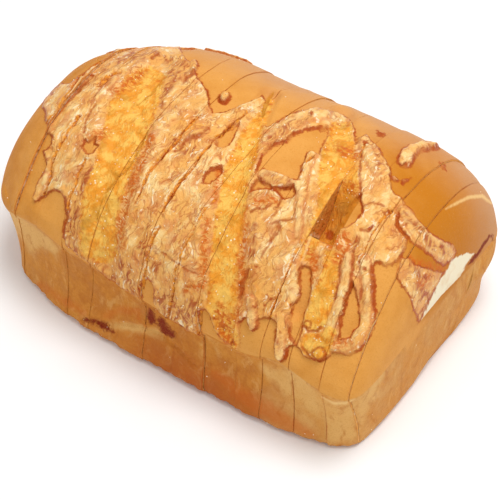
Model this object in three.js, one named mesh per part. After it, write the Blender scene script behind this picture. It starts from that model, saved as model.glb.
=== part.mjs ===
// Sliced cheese-topped pan loaf, millimetres, +Z up.
// The loaf stands on z = 0, long way along X, with the origin under the middle of its box.
// Its front is at -Y. It is cut right through into slices that still stand together.
// Each slice is one solid: crumb, crust and the baked-on cheese that lies on it.

import * as THREE from 'three';

const { clamp, lerp, smoothstep } = THREE.MathUtils;

// ---- driving dimensions --------------------------------------------------

const LEFT_LENGTH = 96.8;       // from the middle to the left end of the rim
const RIGHT_LENGTH = 99.4;
const FRONT_WIDTH = 64.9;       // from the middle to the front of the rim
const BACK_WIDTH = 61.2;
const RIM_HEIGHT = 36.5;        // where the dome springs from the pan-baked wall
const CROWN_HEIGHT = 83.9;
const SHOULDER_LIFT = 13.4;     // keeps the crown full towards both ends

// Squareness of a section: 2 is an ellipse, more is squarer. It changes around a place
// that is given as a share of the half length.
const DOME_POWER = { left: 2.43, right: 2.3, at: -0.35, haste: 3 };

// Over this stretch of the right half, in shares of it, the sections change to narrower
// crests. Their crown falls to the end by its own power.
const CREST = { from: 0.1, to: 0.7, end: 3.2, front: 1.47, back: 2.32 };

// Squareness of the corners in plan, at the rim, high on the dome and at the foot.
const RIM_POWER = { frontLeft: 4.8, backLeft: 3, frontRight: 10.8, backRight: 9.9 };
const LEVEL_POWER = { frontLeft: 2.2, backLeft: 1.5, frontRight: 5, backRight: 6.3 };
const BASE_POWER = { frontLeft: 3.3, backLeft: 4, frontRight: 4.7, backRight: 8 };
const CORNER_BLEND = 2;         // how fast the dome changes from one corner's power to the next
const SQUARING = 6;             // how near the rim the dome takes on the rim's squarer corners
const SHELF_RISE = 0.05;        // the least that the dome rises inward from the rim, as a share

const BASE_WIDTH = 125.9;
const BASE_SHIFT = -5.9;        // the foot sits a little to the front of the dome
const WALL_PINCH = 1.6;         // how far the wall draws in at half height
const RIM_OVERHANG = 1.2;       // how far the dome stands out over the wall
const RIM_UNDERCUT = 2.4;
const LIP_ROUND = { out: 0.3, down: 0.8 };          // shares of those two
const FOOT_RADIUS = 5;
const END_FOOT_SHARE = 0.5;     // the foot's edge is tighter at the ends
const FOOT_TIGHTENS = 0.925;      // share of the half length
const LEFT_TUCK = 11.3;         // how far the foot draws in under the left heel
const RIGHT_TUCK = 0;
const TUCK_POWER = 1.3;
const BELLY = { size: 1.4, x: -26, reach: 48 };       // the front wall's foot swells there

// The right heel's end wall juts out towards its back.
const FLARE = { size: 3.2, z: 28, height: 10, y: 45 };

// The front lip rises and sinks along the loaf: [x, lift, reach].
const LIP_LIFTS = [
  [-80, 1.8, 12], [-60, 8.1, 14], [-36, 4.2, 16], [-10, 0.7, 16],
  [12, -1.7, 14], [38, -0.7, 16], [64, 5.4, 12],
];
const LIP_LIFT_HEIGHT = 22;

// ---- slices ----------------------------------------------------------------

const CUT_GAP = 0.6;
const CUT_PIVOT_HEIGHT = 50;
// Where each cut crosses the middle of the loaf, then how it is turned (mm along X for
// 100 mm across the loaf) and how it leans (mm along X for 100 mm of height).
const CUT_AT = [-72, -60.7, -44.9, -28.7, -13.8, 2, 16.3, 27.1, 41.1, 55.1, 69.1, 81.4, 91.8];
const CUT_TURN = [-4.5, -9.3, -6, -4, -2.5, 3.7, 2.7, -0.8, -4.3, -2.7, 0, -1.9, -4];
const CUT_LEAN = [3.3, 1, -0.6, 4.9, 0.7, -2.7, -3.5, -8.5, -6.3, -2.8, -10.5, -11, -8];
const END_TURN = { left: -5.7, right: 0.7 };        // the same for the loaf's own ends
const END_LEAN = { left: 0, right: -4 };
const SLICE_SHIFT = [0, 0.3, -0.2, 0.1, 0.3, -0.3, 0.2, -0.4, 0.3, -0.1, 0.2, 0.3, -0.3, 0.6];

const END_SHARE = 0.99;         // where each heel is closed, as a share of the half length
const RINGS_PER_SLICE = 5;
const RINGS_PER_HEEL = 9;
const SIDES = { foot: 3, corner: 3, wall: 4, dome: 44 };

// ---- what lies on the dome ---------------------------------------------------

// Slashes opened in the oven, from the back of the loaf to its front: [x, y, half width].
const SLASHES = [
  [[-46, 14, 7], [-41, -18, 11], [-31, -36, 10], [-25, -52, 9], [-22, -60, 8]],
  [[1, 26, 4], [11, -6, 6], [20, -28, 7], [30, -46, 8], [37, -58, 8]],
  [[33, 36, 5], [45, 14, 7], [56, -12, 8], [60, -34, 7], [65, -50, 4]],
];
const SLASH_DEPTH = 2.6;
const SLASH_EDGE = { from: 0.4, to: 1.4 };      // shares of the half width

// One slice has lost its top in the third slash, which leaves a gape over its whole thickness.
// It is deepest at y and runs out towards the back and the front of the loaf.
const GAPE = { slice: 10, y: -20, back: 18, front: 11, depth: 13, tilt: 0.3, floor: 0.15 };

// Melted strands that stand out at the edge of the cheese: [x, y] to [x, y], half width.
const STRANDS = [
  [[-56, -50], [-62, -56], 4.5],
  [[-78, -34], [-60, -40], 5],
  [[-46, 18], [-28, 12], 6],
  [[-36, 40], [-20, 38], 4],
  [[-13, 10], [-10, 13], 3],
  [[22, -18], [40, -14], 4.5],
  [[35, 8], [44, -20], 4.5],
  [[26, -30], [40, -24], 6],
  [[40, -40], [50, -58], 5],
  [[55, -44], [63, -58], 4],
  [[66, -46], [76, -54], 4],
  [[62, 18], [76, -14], 9],
  [[62, 42], [66, 28], 4.5],
  [[77, 10], [96, 14], 6],
  [[88, -16], [97, 4], 6],
  [[80, -22], [88, -40], 5],
];
const STRAND_HEIGHT = 1.5;
const STRAND_EDGE = { from: 0.4, to: 1.3 };     // shares of the half width

// The sheet of cheese under the strands.
const CHEESE = { thickness: 1.2, back: 30, front: -56, left: -86, right: 90, edge: 3 };
const CHEESE_WAVE = { size: 6, lengthX: 9, slowX: 23 };

const LUMPS = { height: 0.7, lengthX: 7.3, lengthY: 8.9, skew: 31, start: 1.1 };
const RELIEF_FADES_ABOVE_RIM = 7;

// ---- materials -----------------------------------------------------------------

const crust = new THREE.MeshStandardMaterial({ color: 0xd59a52, roughness: 0.62, metalness: 0 });

// ---- outline of the loaf ---------------------------------------------------------

// A place along the loaf, which runs from -1 at the left end to 1 at the right end.
function lengthShare(x) {
  return x / (x < 0 ? LEFT_LENGTH : RIGHT_LENGTH);
}

function cornerPower(powers, u, side) {
  if (side < 0) return u < 0 ? powers.frontLeft : powers.frontRight;
  return u < 0 ? powers.backLeft : powers.backRight;
}

// Half width of the plan at u, as a share of its greatest.
function planShare(powers, u, side) {
  const power = cornerPower(powers, u, side);
  return (1 - Math.abs(u) ** power) ** (1 / power);
}

function rimY(u, side) {
  return side * (side < 0 ? FRONT_WIDTH : BACK_WIDTH) * planShare(RIM_POWER, u, side);
}

function bell(distance, reach) {
  return Math.exp(-((distance / reach) ** 2));
}

function wallY(x, side, z) {
  const u = lengthShare(x);
  const belly = side < 0 ? BELLY.size * bell(x - BELLY.x, BELLY.reach) : 0;
  const foot = BASE_SHIFT - belly + side * (BASE_WIDTH / 2) * planShare(BASE_POWER, u, side);
  const top = rimY(u, side) - side * RIM_OVERHANG;
  const share = clamp(z / RIM_HEIGHT, 0, 1);
  const pinch = WALL_PINCH * Math.sin(Math.PI * share);
  return lerp(foot, top, smoothstep(share, 0, 1)) - side * pinch;
}

function footInset(z) {
  const drop = clamp(FOOT_RADIUS - z, 0, FOOT_RADIUS);
  return FOOT_RADIUS - Math.sqrt(FOOT_RADIUS ** 2 - drop ** 2);
}

// A power that changes smoothly from one corner to the next.
function blendedPower(powers, u, v) {
  const right = 0.5 + 0.5 * Math.tanh(CORNER_BLEND * u);
  const back = 0.5 + 0.5 * Math.tanh(CORNER_BLEND * v);
  const inFront = lerp(powers.frontLeft, powers.frontRight, right);
  return lerp(inFront, lerp(powers.backLeft, powers.backRight, right), back);
}

function reachOut(u, v, power) {
  return (Math.abs(u) ** power + Math.abs(v) ** power) ** (1 / power);
}

// The dome's level lines turn from rounder corners near the crown to the rim's own.
/** Height of the dome where its sections are crests, as a share of the crown's height. */
function crestShare(u, y) {
  const side = y < 0 ? -1 : 1;
  const out = Math.min(1, Math.abs(y) / Math.abs(rimY(u, side)));
  const back = 0.5 + 0.5 * Math.tanh(CORNER_BLEND * y / (y < 0 ? FRONT_WIDTH : BACK_WIDTH));
  const power = lerp(CREST.front, CREST.back, back);
  return (1 - Math.abs(u) ** CREST.end) ** (1 / CREST.end) * (1 - out ** power) ** (1 / power);
}

function domeHeight(u, y) {
  const v = y / (y < 0 ? FRONT_WIDTH : BACK_WIDTH);
  const square = Math.min(1, reachOut(u, v, cornerPower(RIM_POWER, u, y)));
  const round = reachOut(u, v, blendedPower(LEVEL_POWER, u, v));
  const reach = Math.min(lerp(round, square, square ** SQUARING), 1 - SHELF_RISE * (1 - square));
  const right = 0.5 + 0.5 * Math.tanh(DOME_POWER.haste * (u - DOME_POWER.at));
  const power = lerp(DOME_POWER.left, DOME_POWER.right, right);
  const crown = CROWN_HEIGHT + SHOULDER_LIFT * u * u - RIM_HEIGHT;
  const level = (1 - reach ** power) ** (1 / power);
  return RIM_HEIGHT + crown * lerp(level, crestShare(u, y), smoothstep(u, CREST.from, CREST.to));
}

// ---- relief on the dome ------------------------------------------------------------

// Distance from (x, y) to a run of straight pieces, and the half width at the nearest place.
function nearestOnRun(points, x, y) {
  let best = { distance: Infinity, halfWidth: 1 };
  for (let i = 0; i + 1 < points.length; i += 1) {
    const [ax, ay, aw] = points[i];
    const [bx, by, bw] = points[i + 1];
    const along = (x - ax) * (bx - ax) + (y - ay) * (by - ay);
    const t = clamp(along / ((bx - ax) ** 2 + (by - ay) ** 2), 0, 1);
    const distance = Math.hypot(x - lerp(ax, bx, t), y - lerp(ay, by, t));
    if (distance < best.distance) best = { distance, halfWidth: lerp(aw, bw, t) };
  }
  return best;
}

function slashDrop(x, y) {
  let drop = 0;
  for (const slash of SLASHES) {
    const { distance, halfWidth } = nearestOnRun(slash, x, y);
    drop = Math.max(drop, 1 - smoothstep(distance / halfWidth, SLASH_EDGE.from, SLASH_EDGE.to));
  }
  return drop;
}

function strandRise(x, y) {
  let rise = 0;
  for (const [from, to, halfWidth] of STRANDS) {
    const run = [[...from, halfWidth], [...to, halfWidth]];
    const { distance } = nearestOnRun(run, x, y);
    rise = Math.max(rise, 1 - smoothstep(distance / halfWidth, STRAND_EDGE.from, STRAND_EDGE.to));
  }
  return rise;
}

function cheeseCover(x, y) {
  const { size, lengthX, slowX } = CHEESE_WAVE;
  const wave = size * Math.sin(x / lengthX) * Math.cos(x / slowX);
  const { back, front, left, right, edge } = CHEESE;
  const across = smoothstep(y, front + wave - edge, front + wave + edge)
    * (1 - smoothstep(y, back + wave - edge, back + wave + edge));
  const along = smoothstep(x, left - edge, left + edge) * (1 - smoothstep(x, right - edge, right + edge));
  return across * along;
}

function gapeDrop(x, y, index) {
  if (index !== GAPE.slice) return 0;
  const along = y > GAPE.y ? (y - GAPE.y) / GAPE.back : (GAPE.y - y) / GAPE.front;
  const fromCut = x - CUT_AT[index - 1];
  return (GAPE.depth - GAPE.tilt * fromCut) * (1 - smoothstep(along, GAPE.floor, 1));
}

function relief(x, y, z) {
  const { height, lengthX, lengthY, skew, start } = LUMPS;
  const lumps = height * Math.sin(x / lengthX + start) * Math.sin(y / lengthY + x / skew);
  const slash = slashDrop(x, y);
  const layer = CHEESE.thickness * cheeseCover(x, y) * (1 - slash);
  const strand = STRAND_HEIGHT * strandRise(x, y) * (1 - slash);
  const fade = smoothstep(z, RIM_HEIGHT, RIM_HEIGHT + RELIEF_FADES_ABOVE_RIM);
  return fade * (lumps + layer + strand - SLASH_DEPTH * slash);
}

// ---- one section across the loaf ------------------------------------------------------

// Points of one side of the pan-baked part, from the middle of the foot up to the rim.
function wallPoints(x, side) {
  const points = [];
  const footEdge = wallY(x, side, 0) - side * FOOT_RADIUS;
  for (let i = 0; i < SIDES.foot; i += 1) {
    points.push([lerp(BASE_SHIFT, footEdge, i / SIDES.foot), 0]);
  }
  for (let i = 0; i < SIDES.corner; i += 1) {
    const z = FOOT_RADIUS * (1 - Math.cos((i / SIDES.corner) * (Math.PI / 2)));
    points.push([wallY(x, side, z) - side * footInset(z), z]);
  }
  for (let i = 0; i <= SIDES.wall; i += 1) {
    const z = lerp(FOOT_RADIUS, RIM_HEIGHT - RIM_UNDERCUT, i / SIDES.wall);
    points.push([wallY(x, side, z), z]);
  }
  const lipY = rimY(lengthShare(x), side) - side * LIP_ROUND.out * RIM_OVERHANG;
  points.push([lipY, RIM_HEIGHT - LIP_ROUND.down * RIM_UNDERCUT]);
  return points;
}

function domePoints(x, index) {
  const u = lengthShare(x);
  const smooth = [];
  for (let i = 0; i <= SIDES.dome; i += 1) {
    const sweep = Math.cos((i / SIDES.dome) * Math.PI);
    const y = sweep > 0 ? rimY(u, -1) * sweep : -rimY(u, 1) * sweep;
    smooth.push([y, domeHeight(u, y)]);
  }
  // Relief stands along the section's own normal, so a cut face stays flat.
  return smooth.map(([y, z], i) => {
    const before = smooth[Math.max(0, i - 1)];
    const after = smooth[Math.min(SIDES.dome, i + 1)];
    const run = Math.hypot(after[0] - before[0], after[1] - before[1]);
    const height = relief(x, y, z);
    const normalY = -(after[1] - before[1]) / run;
    const normalZ = (after[0] - before[0]) / run;
    return [y + height * normalY, z + height * normalZ - gapeDrop(x, y, index)];
  });
}

function section(x, index) {
  const front = wallPoints(x, -1);
  const back = wallPoints(x, 1).reverse();
  back.pop();
  return [...front, ...domePoints(x, index), ...back];
}

// ---- how a section is placed along the loaf ---------------------------------------------

function alongCuts(values, ends, x) {
  const places = [-LEFT_LENGTH, ...CUT_AT, RIGHT_LENGTH];
  const all = [ends.left, ...values, ends.right];
  const next = clamp(places.findIndex((place) => place >= x), 1, places.length - 1);
  const share = (x - places[next - 1]) / (places[next] - places[next - 1]);
  return lerp(all[next - 1], all[next], share) / 100;
}

// Only the heels are bent, so every cut face stays flat.
function endTuck(x, y, z) {
  const u = lengthShare(x);
  const heelStarts = lengthShare(u < 0 ? CUT_AT.at(0) : CUT_AT.at(-1));
  const blend = smoothstep(Math.abs(u), Math.abs(heelStarts), 1);
  const under = (1 - clamp(z / RIM_HEIGHT, 0, 1)) ** TUCK_POWER;
  const tuck = u < 0 ? LEFT_TUCK : RIGHT_TUCK;
  const foot = END_FOOT_SHARE * footInset(z) * smoothstep(Math.abs(u), FOOT_TIGHTENS, 1);
  const flare = u < 0 ? 0 : FLARE.size * bell(z - FLARE.z, FLARE.height) * smoothstep(y, 0, FLARE.y);
  return flare * blend - Math.sign(u) * (tuck * under * blend + foot);
}

function lipLift(x, y, z) {
  const level = smoothstep(1 - Math.abs(z - RIM_HEIGHT) / LIP_LIFT_HEIGHT, 0, 1);
  const front = level * smoothstep(-y, 0, FRONT_WIDTH);
  return LIP_LIFTS.reduce((sum, [at, lift, reach]) => sum + front * lift * bell(x - at, reach), 0);
}

function place(x, [y, z], shift) {
  const lifted = z + lipLift(x, y, z);
  const turned = x + alongCuts(CUT_TURN, END_TURN, x) * y;
  const leaned = turned + alongCuts(CUT_LEAN, END_LEAN, x) * (lifted - CUT_PIVOT_HEIGHT);
  return [leaned + endTuck(x, y, z), y + shift, lifted];
}

// ---- one slice ----------------------------------------------------------------------------

function ringPlaces(index) {
  const last = CUT_AT.length;
  const from = index === 0 ? -LEFT_LENGTH * END_SHARE : CUT_AT[index - 1] + CUT_GAP / 2;
  const to = index === last ? RIGHT_LENGTH * END_SHARE : CUT_AT[index] - CUT_GAP / 2;
  const isHeel = index === 0 || index === last;
  const count = isHeel ? RINGS_PER_HEEL : RINGS_PER_SLICE;
  return Array.from({ length: count + 1 }, (_, i) => {
    // A heel's rings crowd towards its rounded end.
    const quarter = (i / count) * (Math.PI / 2);
    if (index === 0) return lerp(from, to, 1 - Math.cos(quarter));
    if (index === last) return lerp(from, to, Math.sin(quarter));
    return lerp(from, to, i / count);
  });
}

// A cut face is flat, so it is filled as a plane shape.
function cutFace(ring) {
  const outline = ring.map(([, y, z]) => new THREE.Vector2(y, z));
  const triangles = THREE.ShapeUtils.triangulateShape(outline, []);
  const isClockwise = THREE.ShapeUtils.isClockWise(outline);
  return isClockwise ? triangles.map((corners) => [...corners].reverse()) : triangles;
}

// A heel's outer end is bent, so it is closed by level rungs from its front to its back. The
// foot's points lie on one line, so they are joined to the first point above the foot instead.
function rungs(around) {
  const top = around / 2;
  const low = SIDES.foot + 1;
  const triangles = [[around - low, around - low + 1, low], [top - 1, top, top + 1]];
  for (let k = 1 - low; k + 1 < low; k += 1) {
    triangles.push([(k + around) % around, (k + 1 + around) % around, low]);
  }
  for (let k = low; k + 1 < top; k += 1) {
    triangles.push([k, k + 1, around - k], [k + 1, around - k - 1, around - k]);
  }
  return triangles;
}

function sliceGeometry(index) {
  const positions = [];
  const indices = [];
  const rings = ringPlaces(index).map((x) => {
    return section(x, index).map((point) => place(x, point, SLICE_SHIFT[index]));
  });
  const around = rings[0].length;
  for (const ring of rings) {
    for (const point of ring) positions.push(...point);
  }
  for (let r = 0; r + 1 < rings.length; r += 1) {
    for (let k = 0; k < around; k += 1) {
      const a = r * around + k;
      const b = r * around + ((k + 1) % around);
      indices.push(a, b + around, b, a, a + around, b + around);
    }
  }
  const closings = [[0, index === 0, 1], [rings.length - 1, index === CUT_AT.length, -1]];
  for (const [r, isHeelEnd, turn] of closings) {
    const triangles = isHeelEnd ? rungs(around) : cutFace(rings[r]);
    for (const corners of triangles) {
      if (turn < 0) corners.reverse();
      indices.push(...corners.map((k) => r * around + k));
    }
  }
  const geometry = new THREE.BufferGeometry();
  geometry.setAttribute('position', new THREE.Float32BufferAttribute(positions, 3));
  geometry.setIndex(indices);
  geometry.computeVertexNormals();
  return geometry;
}

// ---- the loaf -------------------------------------------------------------------------------

const loaf = new THREE.Group();
for (let index = 0; index <= CUT_AT.length; index += 1) {
  const slice = new THREE.Mesh(sliceGeometry(index), crust);
  slice.name = `slice_${String(index + 1).padStart(2, '0')}`;
  loaf.add(slice);
}

// The bumps on the crust shift the box a little, so the loaf is centred over the origin.
const box = new THREE.Box3().setFromObject(loaf);
const middle = box.getCenter(new THREE.Vector3());
loaf.position.set(-middle.x, -middle.y, -box.min.z);

export default loaf;
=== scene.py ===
"""Sliced loaf with cheese baked on its top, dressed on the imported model.

Every slice is rebuilt from the sections that the solids have, with the crust, the melted
cheese, the slashes and the grooves at the cuts as real relief. Loose crumbs lie on it.
Sizes in this file are millimetres unless a name says otherwise.
"""
import math

import bpy
import numpy as np
from bpy.props import FloatProperty, FloatVectorProperty, IntProperty, PointerProperty
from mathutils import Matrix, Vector


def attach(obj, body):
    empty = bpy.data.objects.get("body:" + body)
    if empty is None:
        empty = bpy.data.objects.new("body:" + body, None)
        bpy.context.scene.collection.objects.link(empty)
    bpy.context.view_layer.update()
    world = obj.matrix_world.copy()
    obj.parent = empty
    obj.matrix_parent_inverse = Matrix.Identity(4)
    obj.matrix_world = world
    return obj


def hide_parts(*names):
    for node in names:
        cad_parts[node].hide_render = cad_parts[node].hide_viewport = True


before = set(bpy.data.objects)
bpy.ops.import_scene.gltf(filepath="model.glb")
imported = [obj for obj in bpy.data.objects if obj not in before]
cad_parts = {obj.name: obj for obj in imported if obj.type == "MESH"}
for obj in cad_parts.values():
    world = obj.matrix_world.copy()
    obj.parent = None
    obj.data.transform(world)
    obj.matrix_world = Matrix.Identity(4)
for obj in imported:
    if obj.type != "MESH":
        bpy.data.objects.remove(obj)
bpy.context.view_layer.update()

bl_info = {
    "name": "Sliced cheese loaf",
    "version": (1, 0, 0),
    "blender": (4, 5, 0),
    "location": "View3D > Sidebar > Loaf",
    "description": "Builds a sliced loaf with melted cheese, its crumbs and a pale studio",
    "category": "Add Mesh",
}

METRE = 0.001                               # metres in a millimetre

# ---- shape of the loaf, as its solids have it ------------------------------------

LEFT_LENGTH, RIGHT_LENGTH = 96.8, 99.4      # from the middle to each end of the rim
FRONT_WIDTH, BACK_WIDTH = 64.9, 61.2
RIM_HEIGHT, CROWN_HEIGHT = 36.5, 83.9
SHOULDER_LIFT = 13.4
DOME_POWER = {"left": 2.43, "right": 2.3, "at": -0.35, "haste": 3}
CREST = {"from": 0.1, "to": 0.7, "end": 3.2, "front": 1.47, "back": 2.32}
RIM_POWER = {"front": (4.8, 10.8), "back": (3.0, 9.9)}      # left end, right end
LEVEL_POWER = {"front": (2.2, 5.0), "back": (1.5, 6.3)}
BASE_POWER = {"front": (3.3, 4.7), "back": (4.0, 8.0)}
CORNER_BLEND, SQUARING, SHELF_RISE = 2, 6, 0.05
BASE_WIDTH, BASE_SHIFT = 125.9, -5.9
WALL_PINCH, RIM_OVERHANG, RIM_UNDERCUT = 1.6, 1.2, 2.4
FOOT_RADIUS, END_FOOT_SHARE, FOOT_TIGHTENS = 5.0, 0.5, 0.925
LEFT_TUCK, TUCK_POWER = 11.3, 1.3
BELLY = {"size": 1.4, "x": -26, "reach": 48}
FLARE = {"size": 3.2, "z": 28, "height": 10, "y": 45}
# Where the front lip stands higher or lower: x, lift, reach.
LIP_LIFTS = ((-80, 1.8, 12), (-60, 8.1, 14), (-36, 4.2, 16), (-10, 0.7, 16), (12, -1.7, 14),
             (38, -0.7, 16), (64, 5.4, 12))
LIP_LIFT_HEIGHT = 22
CUT_PIVOT_HEIGHT = 50.0
CUT_AT = (-72, -60.7, -44.9, -28.7, -13.8, 2, 16.3, 27.1, 41.1, 55.1, 69.1, 81.4, 91.8)
CUT_TURN = (-4.5, -9.3, -6, -4, -2.5, 3.7, 2.7, -0.8, -4.3, -2.7, 0, -1.9, -4)
CUT_LEAN = (3.3, 1, -0.6, 4.9, 0.7, -2.7, -3.5, -8.5, -6.3, -2.8, -10.5, -11, -8)
END_TURN, END_LEAN = (-5.7, 0.7), (0, -4)          # left end, right end
SLICE_SHIFT = (0, 0.3, -0.2, 0.1, 0.3, -0.3, 0.2, -0.4, 0.3, -0.1, 0.2, 0.3, -0.3, 0.6)
SLICES = len(SLICE_SHIFT)
# Places along each slash: x, y, half width.
SLASHES = (
    ((-46, 14, 7), (-41, -18, 11), (-31, -36, 10), (-25, -52, 9), (-22, -60, 8)),
    ((1, 26, 4), (11, -6, 6), (20, -28, 7), (30, -46, 8), (37, -58, 8)),
    ((33, 36, 5), (45, 14, 7), (56, -12, 8), (60, -34, 7), (65, -50, 4)),
)
SLASH_DEPTH = 2.6
SLASH_WALL = (0.4, 1.4)                     # where its wall starts and ends, in half widths
GAPE = {"slice": 10, "y": -20, "back": 18, "front": 11, "depth": 13, "tilt": 0.3, "floor": 0.15}
CENTRING = (-2.79, 3.905)                   # how far the solids' box is shifted over the origin

CAMERA_AT = (248.67 + CENTRING[0], -351.55 + CENTRING[1], 468.9)
CAMERA_TURN = (90 - 46.96, 0.0, 34.36)      # degrees
CAMERA_FOCUS = 1423.0                       # pixels of the photograph
PHOTO_SIZE = 500.0


# ---- what lies on the loaf, traced on the photograph in its pixels ------------------------

# The cheese as a whole, round from its left end by the front lip, the right end and the back.
CHEESE = (
    (52, 90), (44, 100), (42, 108), (46, 114), (45, 121), (49, 124), (47, 133), (53, 138), (52, 145),
    (47, 149), (43, 150), (45, 158), (47, 165), (43, 173), (40, 180), (35, 190), (33, 196), (36, 201),
    (41, 200), (46, 195), (51, 191), (57, 190), (62, 192), (65, 198), (67, 208), (67, 222), (64, 235),
    (68, 245), (76, 252), (90, 262), (105, 275), (120, 285), (135, 295), (142, 299), (141, 289),
    (144, 281), (149, 277), (153, 281), (155, 290), (155, 302), (160, 311), (172, 319), (185, 327),
    (201, 335), (200, 322), (201, 312), (207, 307), (211, 316), (216, 330), (226, 342), (238, 350),
    (240, 335), (240, 322), (246, 318), (249, 326), (253, 331), (258, 328), (258, 321), (264, 318),
    (272, 318), (277, 323), (277, 335), (275, 345), (276, 355), (280, 361), (285, 359), (287, 350),
    (290, 346), (294, 345), (299, 347), (303, 355), (312, 360), (322, 361), (329, 358), (332, 352),
    (340, 354), (350, 355), (360, 350), (368, 341), (374, 330), (376, 315), (376, 295), (375, 278),
    (374, 267), (378, 262), (386, 267), (394, 265), (400, 260), (403, 252), (408, 241), (403, 235),
    (397, 226), (396, 218), (402, 212), (405, 205), (402, 199), (396, 197), (392, 190), (391, 178),
    (390, 168), (384, 158), (379, 149), (372, 141), (366, 135), (359, 138), (355, 145), (356, 132),
    (350, 121), (340, 114), (330, 112), (318, 109), (303, 110), (292, 114), (278, 122), (266, 128),
    (263, 118), (268, 104), (262, 97), (250, 102), (240, 106), (230, 112), (221, 114), (213, 114),
    (210, 107), (209, 98), (205, 90), (201, 82), (197, 78), (196, 72), (199, 66), (196, 62), (188, 63),
    (182, 56), (178, 40), (120, 40), (112, 55), (104, 61), (97, 65), (88, 71), (78, 78), (70, 84),
    (60, 84),
)
# Cheese apart from the sheet.
MORE_CHEESE = {
    "hook": (
        (440, 149), (432, 144), (420, 143), (410, 144), (402, 149), (398, 155), (397, 163), (401, 167),
        (407, 169), (411, 167), (415, 158), (420, 153), (430, 151),
    ),
    "wide strand": (
        (398, 215), (402, 204), (411, 211), (419, 222), (430, 233), (440, 239), (452, 245), (456, 253),
        (452, 261), (444, 266), (434, 260), (424, 251), (411, 242), (403, 233), (397, 223),
    ),
    "torn corner": (
        (402, 259), (399, 266), (396, 274), (398, 281), (404, 288), (410, 298), (415, 312), (419, 323),
        (424, 312), (430, 298), (438, 285), (444, 272), (436, 271), (425, 268), (415, 264), (408, 257),
    ),
    "back flake": ((377, 131), (385, 134), (384, 136), (378, 134)),
    "flake": ((391, 176), (396, 177), (400, 181), (394, 182)),
    "long flake": ((401, 180), (411, 179), (405, 182), (403, 186)),
    "right flake": ((440, 163), (443, 165), (446, 171), (443, 169)),
}
# Bare crust that shows through the cheese.
BARE = {
    "top": (
        (262, 158), (268, 150), (276, 146), (286, 142), (296, 135), (306, 130), (329, 130), (325, 142),
        (319, 155), (313, 151), (307, 152), (304, 160), (301, 171), (297, 181), (285, 177), (273, 172),
        (263, 170), (257, 173),
    ),
    "under the finger": (
        (250, 192), (255, 184), (259, 181), (262, 184), (269, 186), (273, 190), (265, 189), (258, 190),
    ),
    "right of it": ((275, 190), (284, 190), (294, 189), (295, 195), (292, 198), (285, 200), (281, 195)),
    "oval": (
        (203, 184), (206, 176), (211, 171), (217, 169), (222, 169), (222, 174), (217, 178), (210, 184),
    ),
    "leaf by the second slash": (
        (217, 146), (220, 138), (226, 132), (233, 127), (238, 125), (236, 132), (233, 138), (229, 145),
        (222, 148),
    ),
    "long finger": (
        (301, 270), (305, 267), (310, 268), (312, 276), (311, 292), (307, 306), (302, 330), (297, 344),
        (291, 336), (290, 320), (293, 307), (300, 298), (301, 285),
    ),
    "leaf": (
        (353, 283), (357, 300), (360, 315), (359, 325), (350, 337), (339, 340), (343, 315), (349, 296),
    ),
    "flap": ((343, 229), (350, 208), (361, 197), (362, 212), (357, 221), (350, 226)),
    "torn hole": (
        (82, 147), (85, 144), (86, 142), (89, 144), (93, 141), (96, 139), (95, 144), (98, 148),
        (95, 153), (90, 155), (87, 154),
    ),
}
# Cheese that filled the slashes.
GOLDEN = {
    "first slash": (
        (118, 92), (111, 100), (107, 110), (105, 125), (103, 140), (99, 155), (94, 170), (88, 183),
        (85, 195), (82, 210), (80, 228), (80, 244), (84, 252), (92, 257), (101, 262), (112, 262),
        (119, 255), (119, 240), (118, 225), (121, 207), (127, 190), (131, 176), (138, 160), (146, 146),
        (150, 131), (157, 112), (161, 95), (166, 78), (160, 72), (150, 69), (140, 71), (126, 78),
    ),
    "second slash": (
        (262, 110), (248, 125), (236, 145), (228, 162), (222, 180), (219, 200), (214, 225), (211, 255),
        (209, 285), (208, 303), (213, 317), (219, 332), (233, 346), (238, 350), (240, 335), (237, 318),
        (239, 300), (239, 283), (240, 262), (244, 235), (247, 210), (250, 185), (257, 158), (262, 133),
        (274, 103), (270, 98),
    ),
    "third slash": (
        (331, 124), (326, 142), (321, 157), (318, 175), (318, 195), (316, 212), (310, 226), (303, 243),
        (301, 262), (310, 262), (322, 240), (324, 224), (338, 193), (347, 200), (357, 197), (360, 188),
        (357, 170), (354, 150), (353, 135), (350, 124),
    ),
    "blistered end": (
        (326, 250), (338, 252), (341, 262), (340, 275), (338, 290), (334, 305), (328, 325), (320, 331),
        (310, 331), (304, 324), (308, 312), (313, 297), (319, 280), (324, 262),
    ),
    "below the blisters": (
        (300, 345), (306, 333), (320, 333), (331, 325), (338, 330), (333, 345), (330, 356), (318, 360),
        (306, 354),
    ),
}
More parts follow.
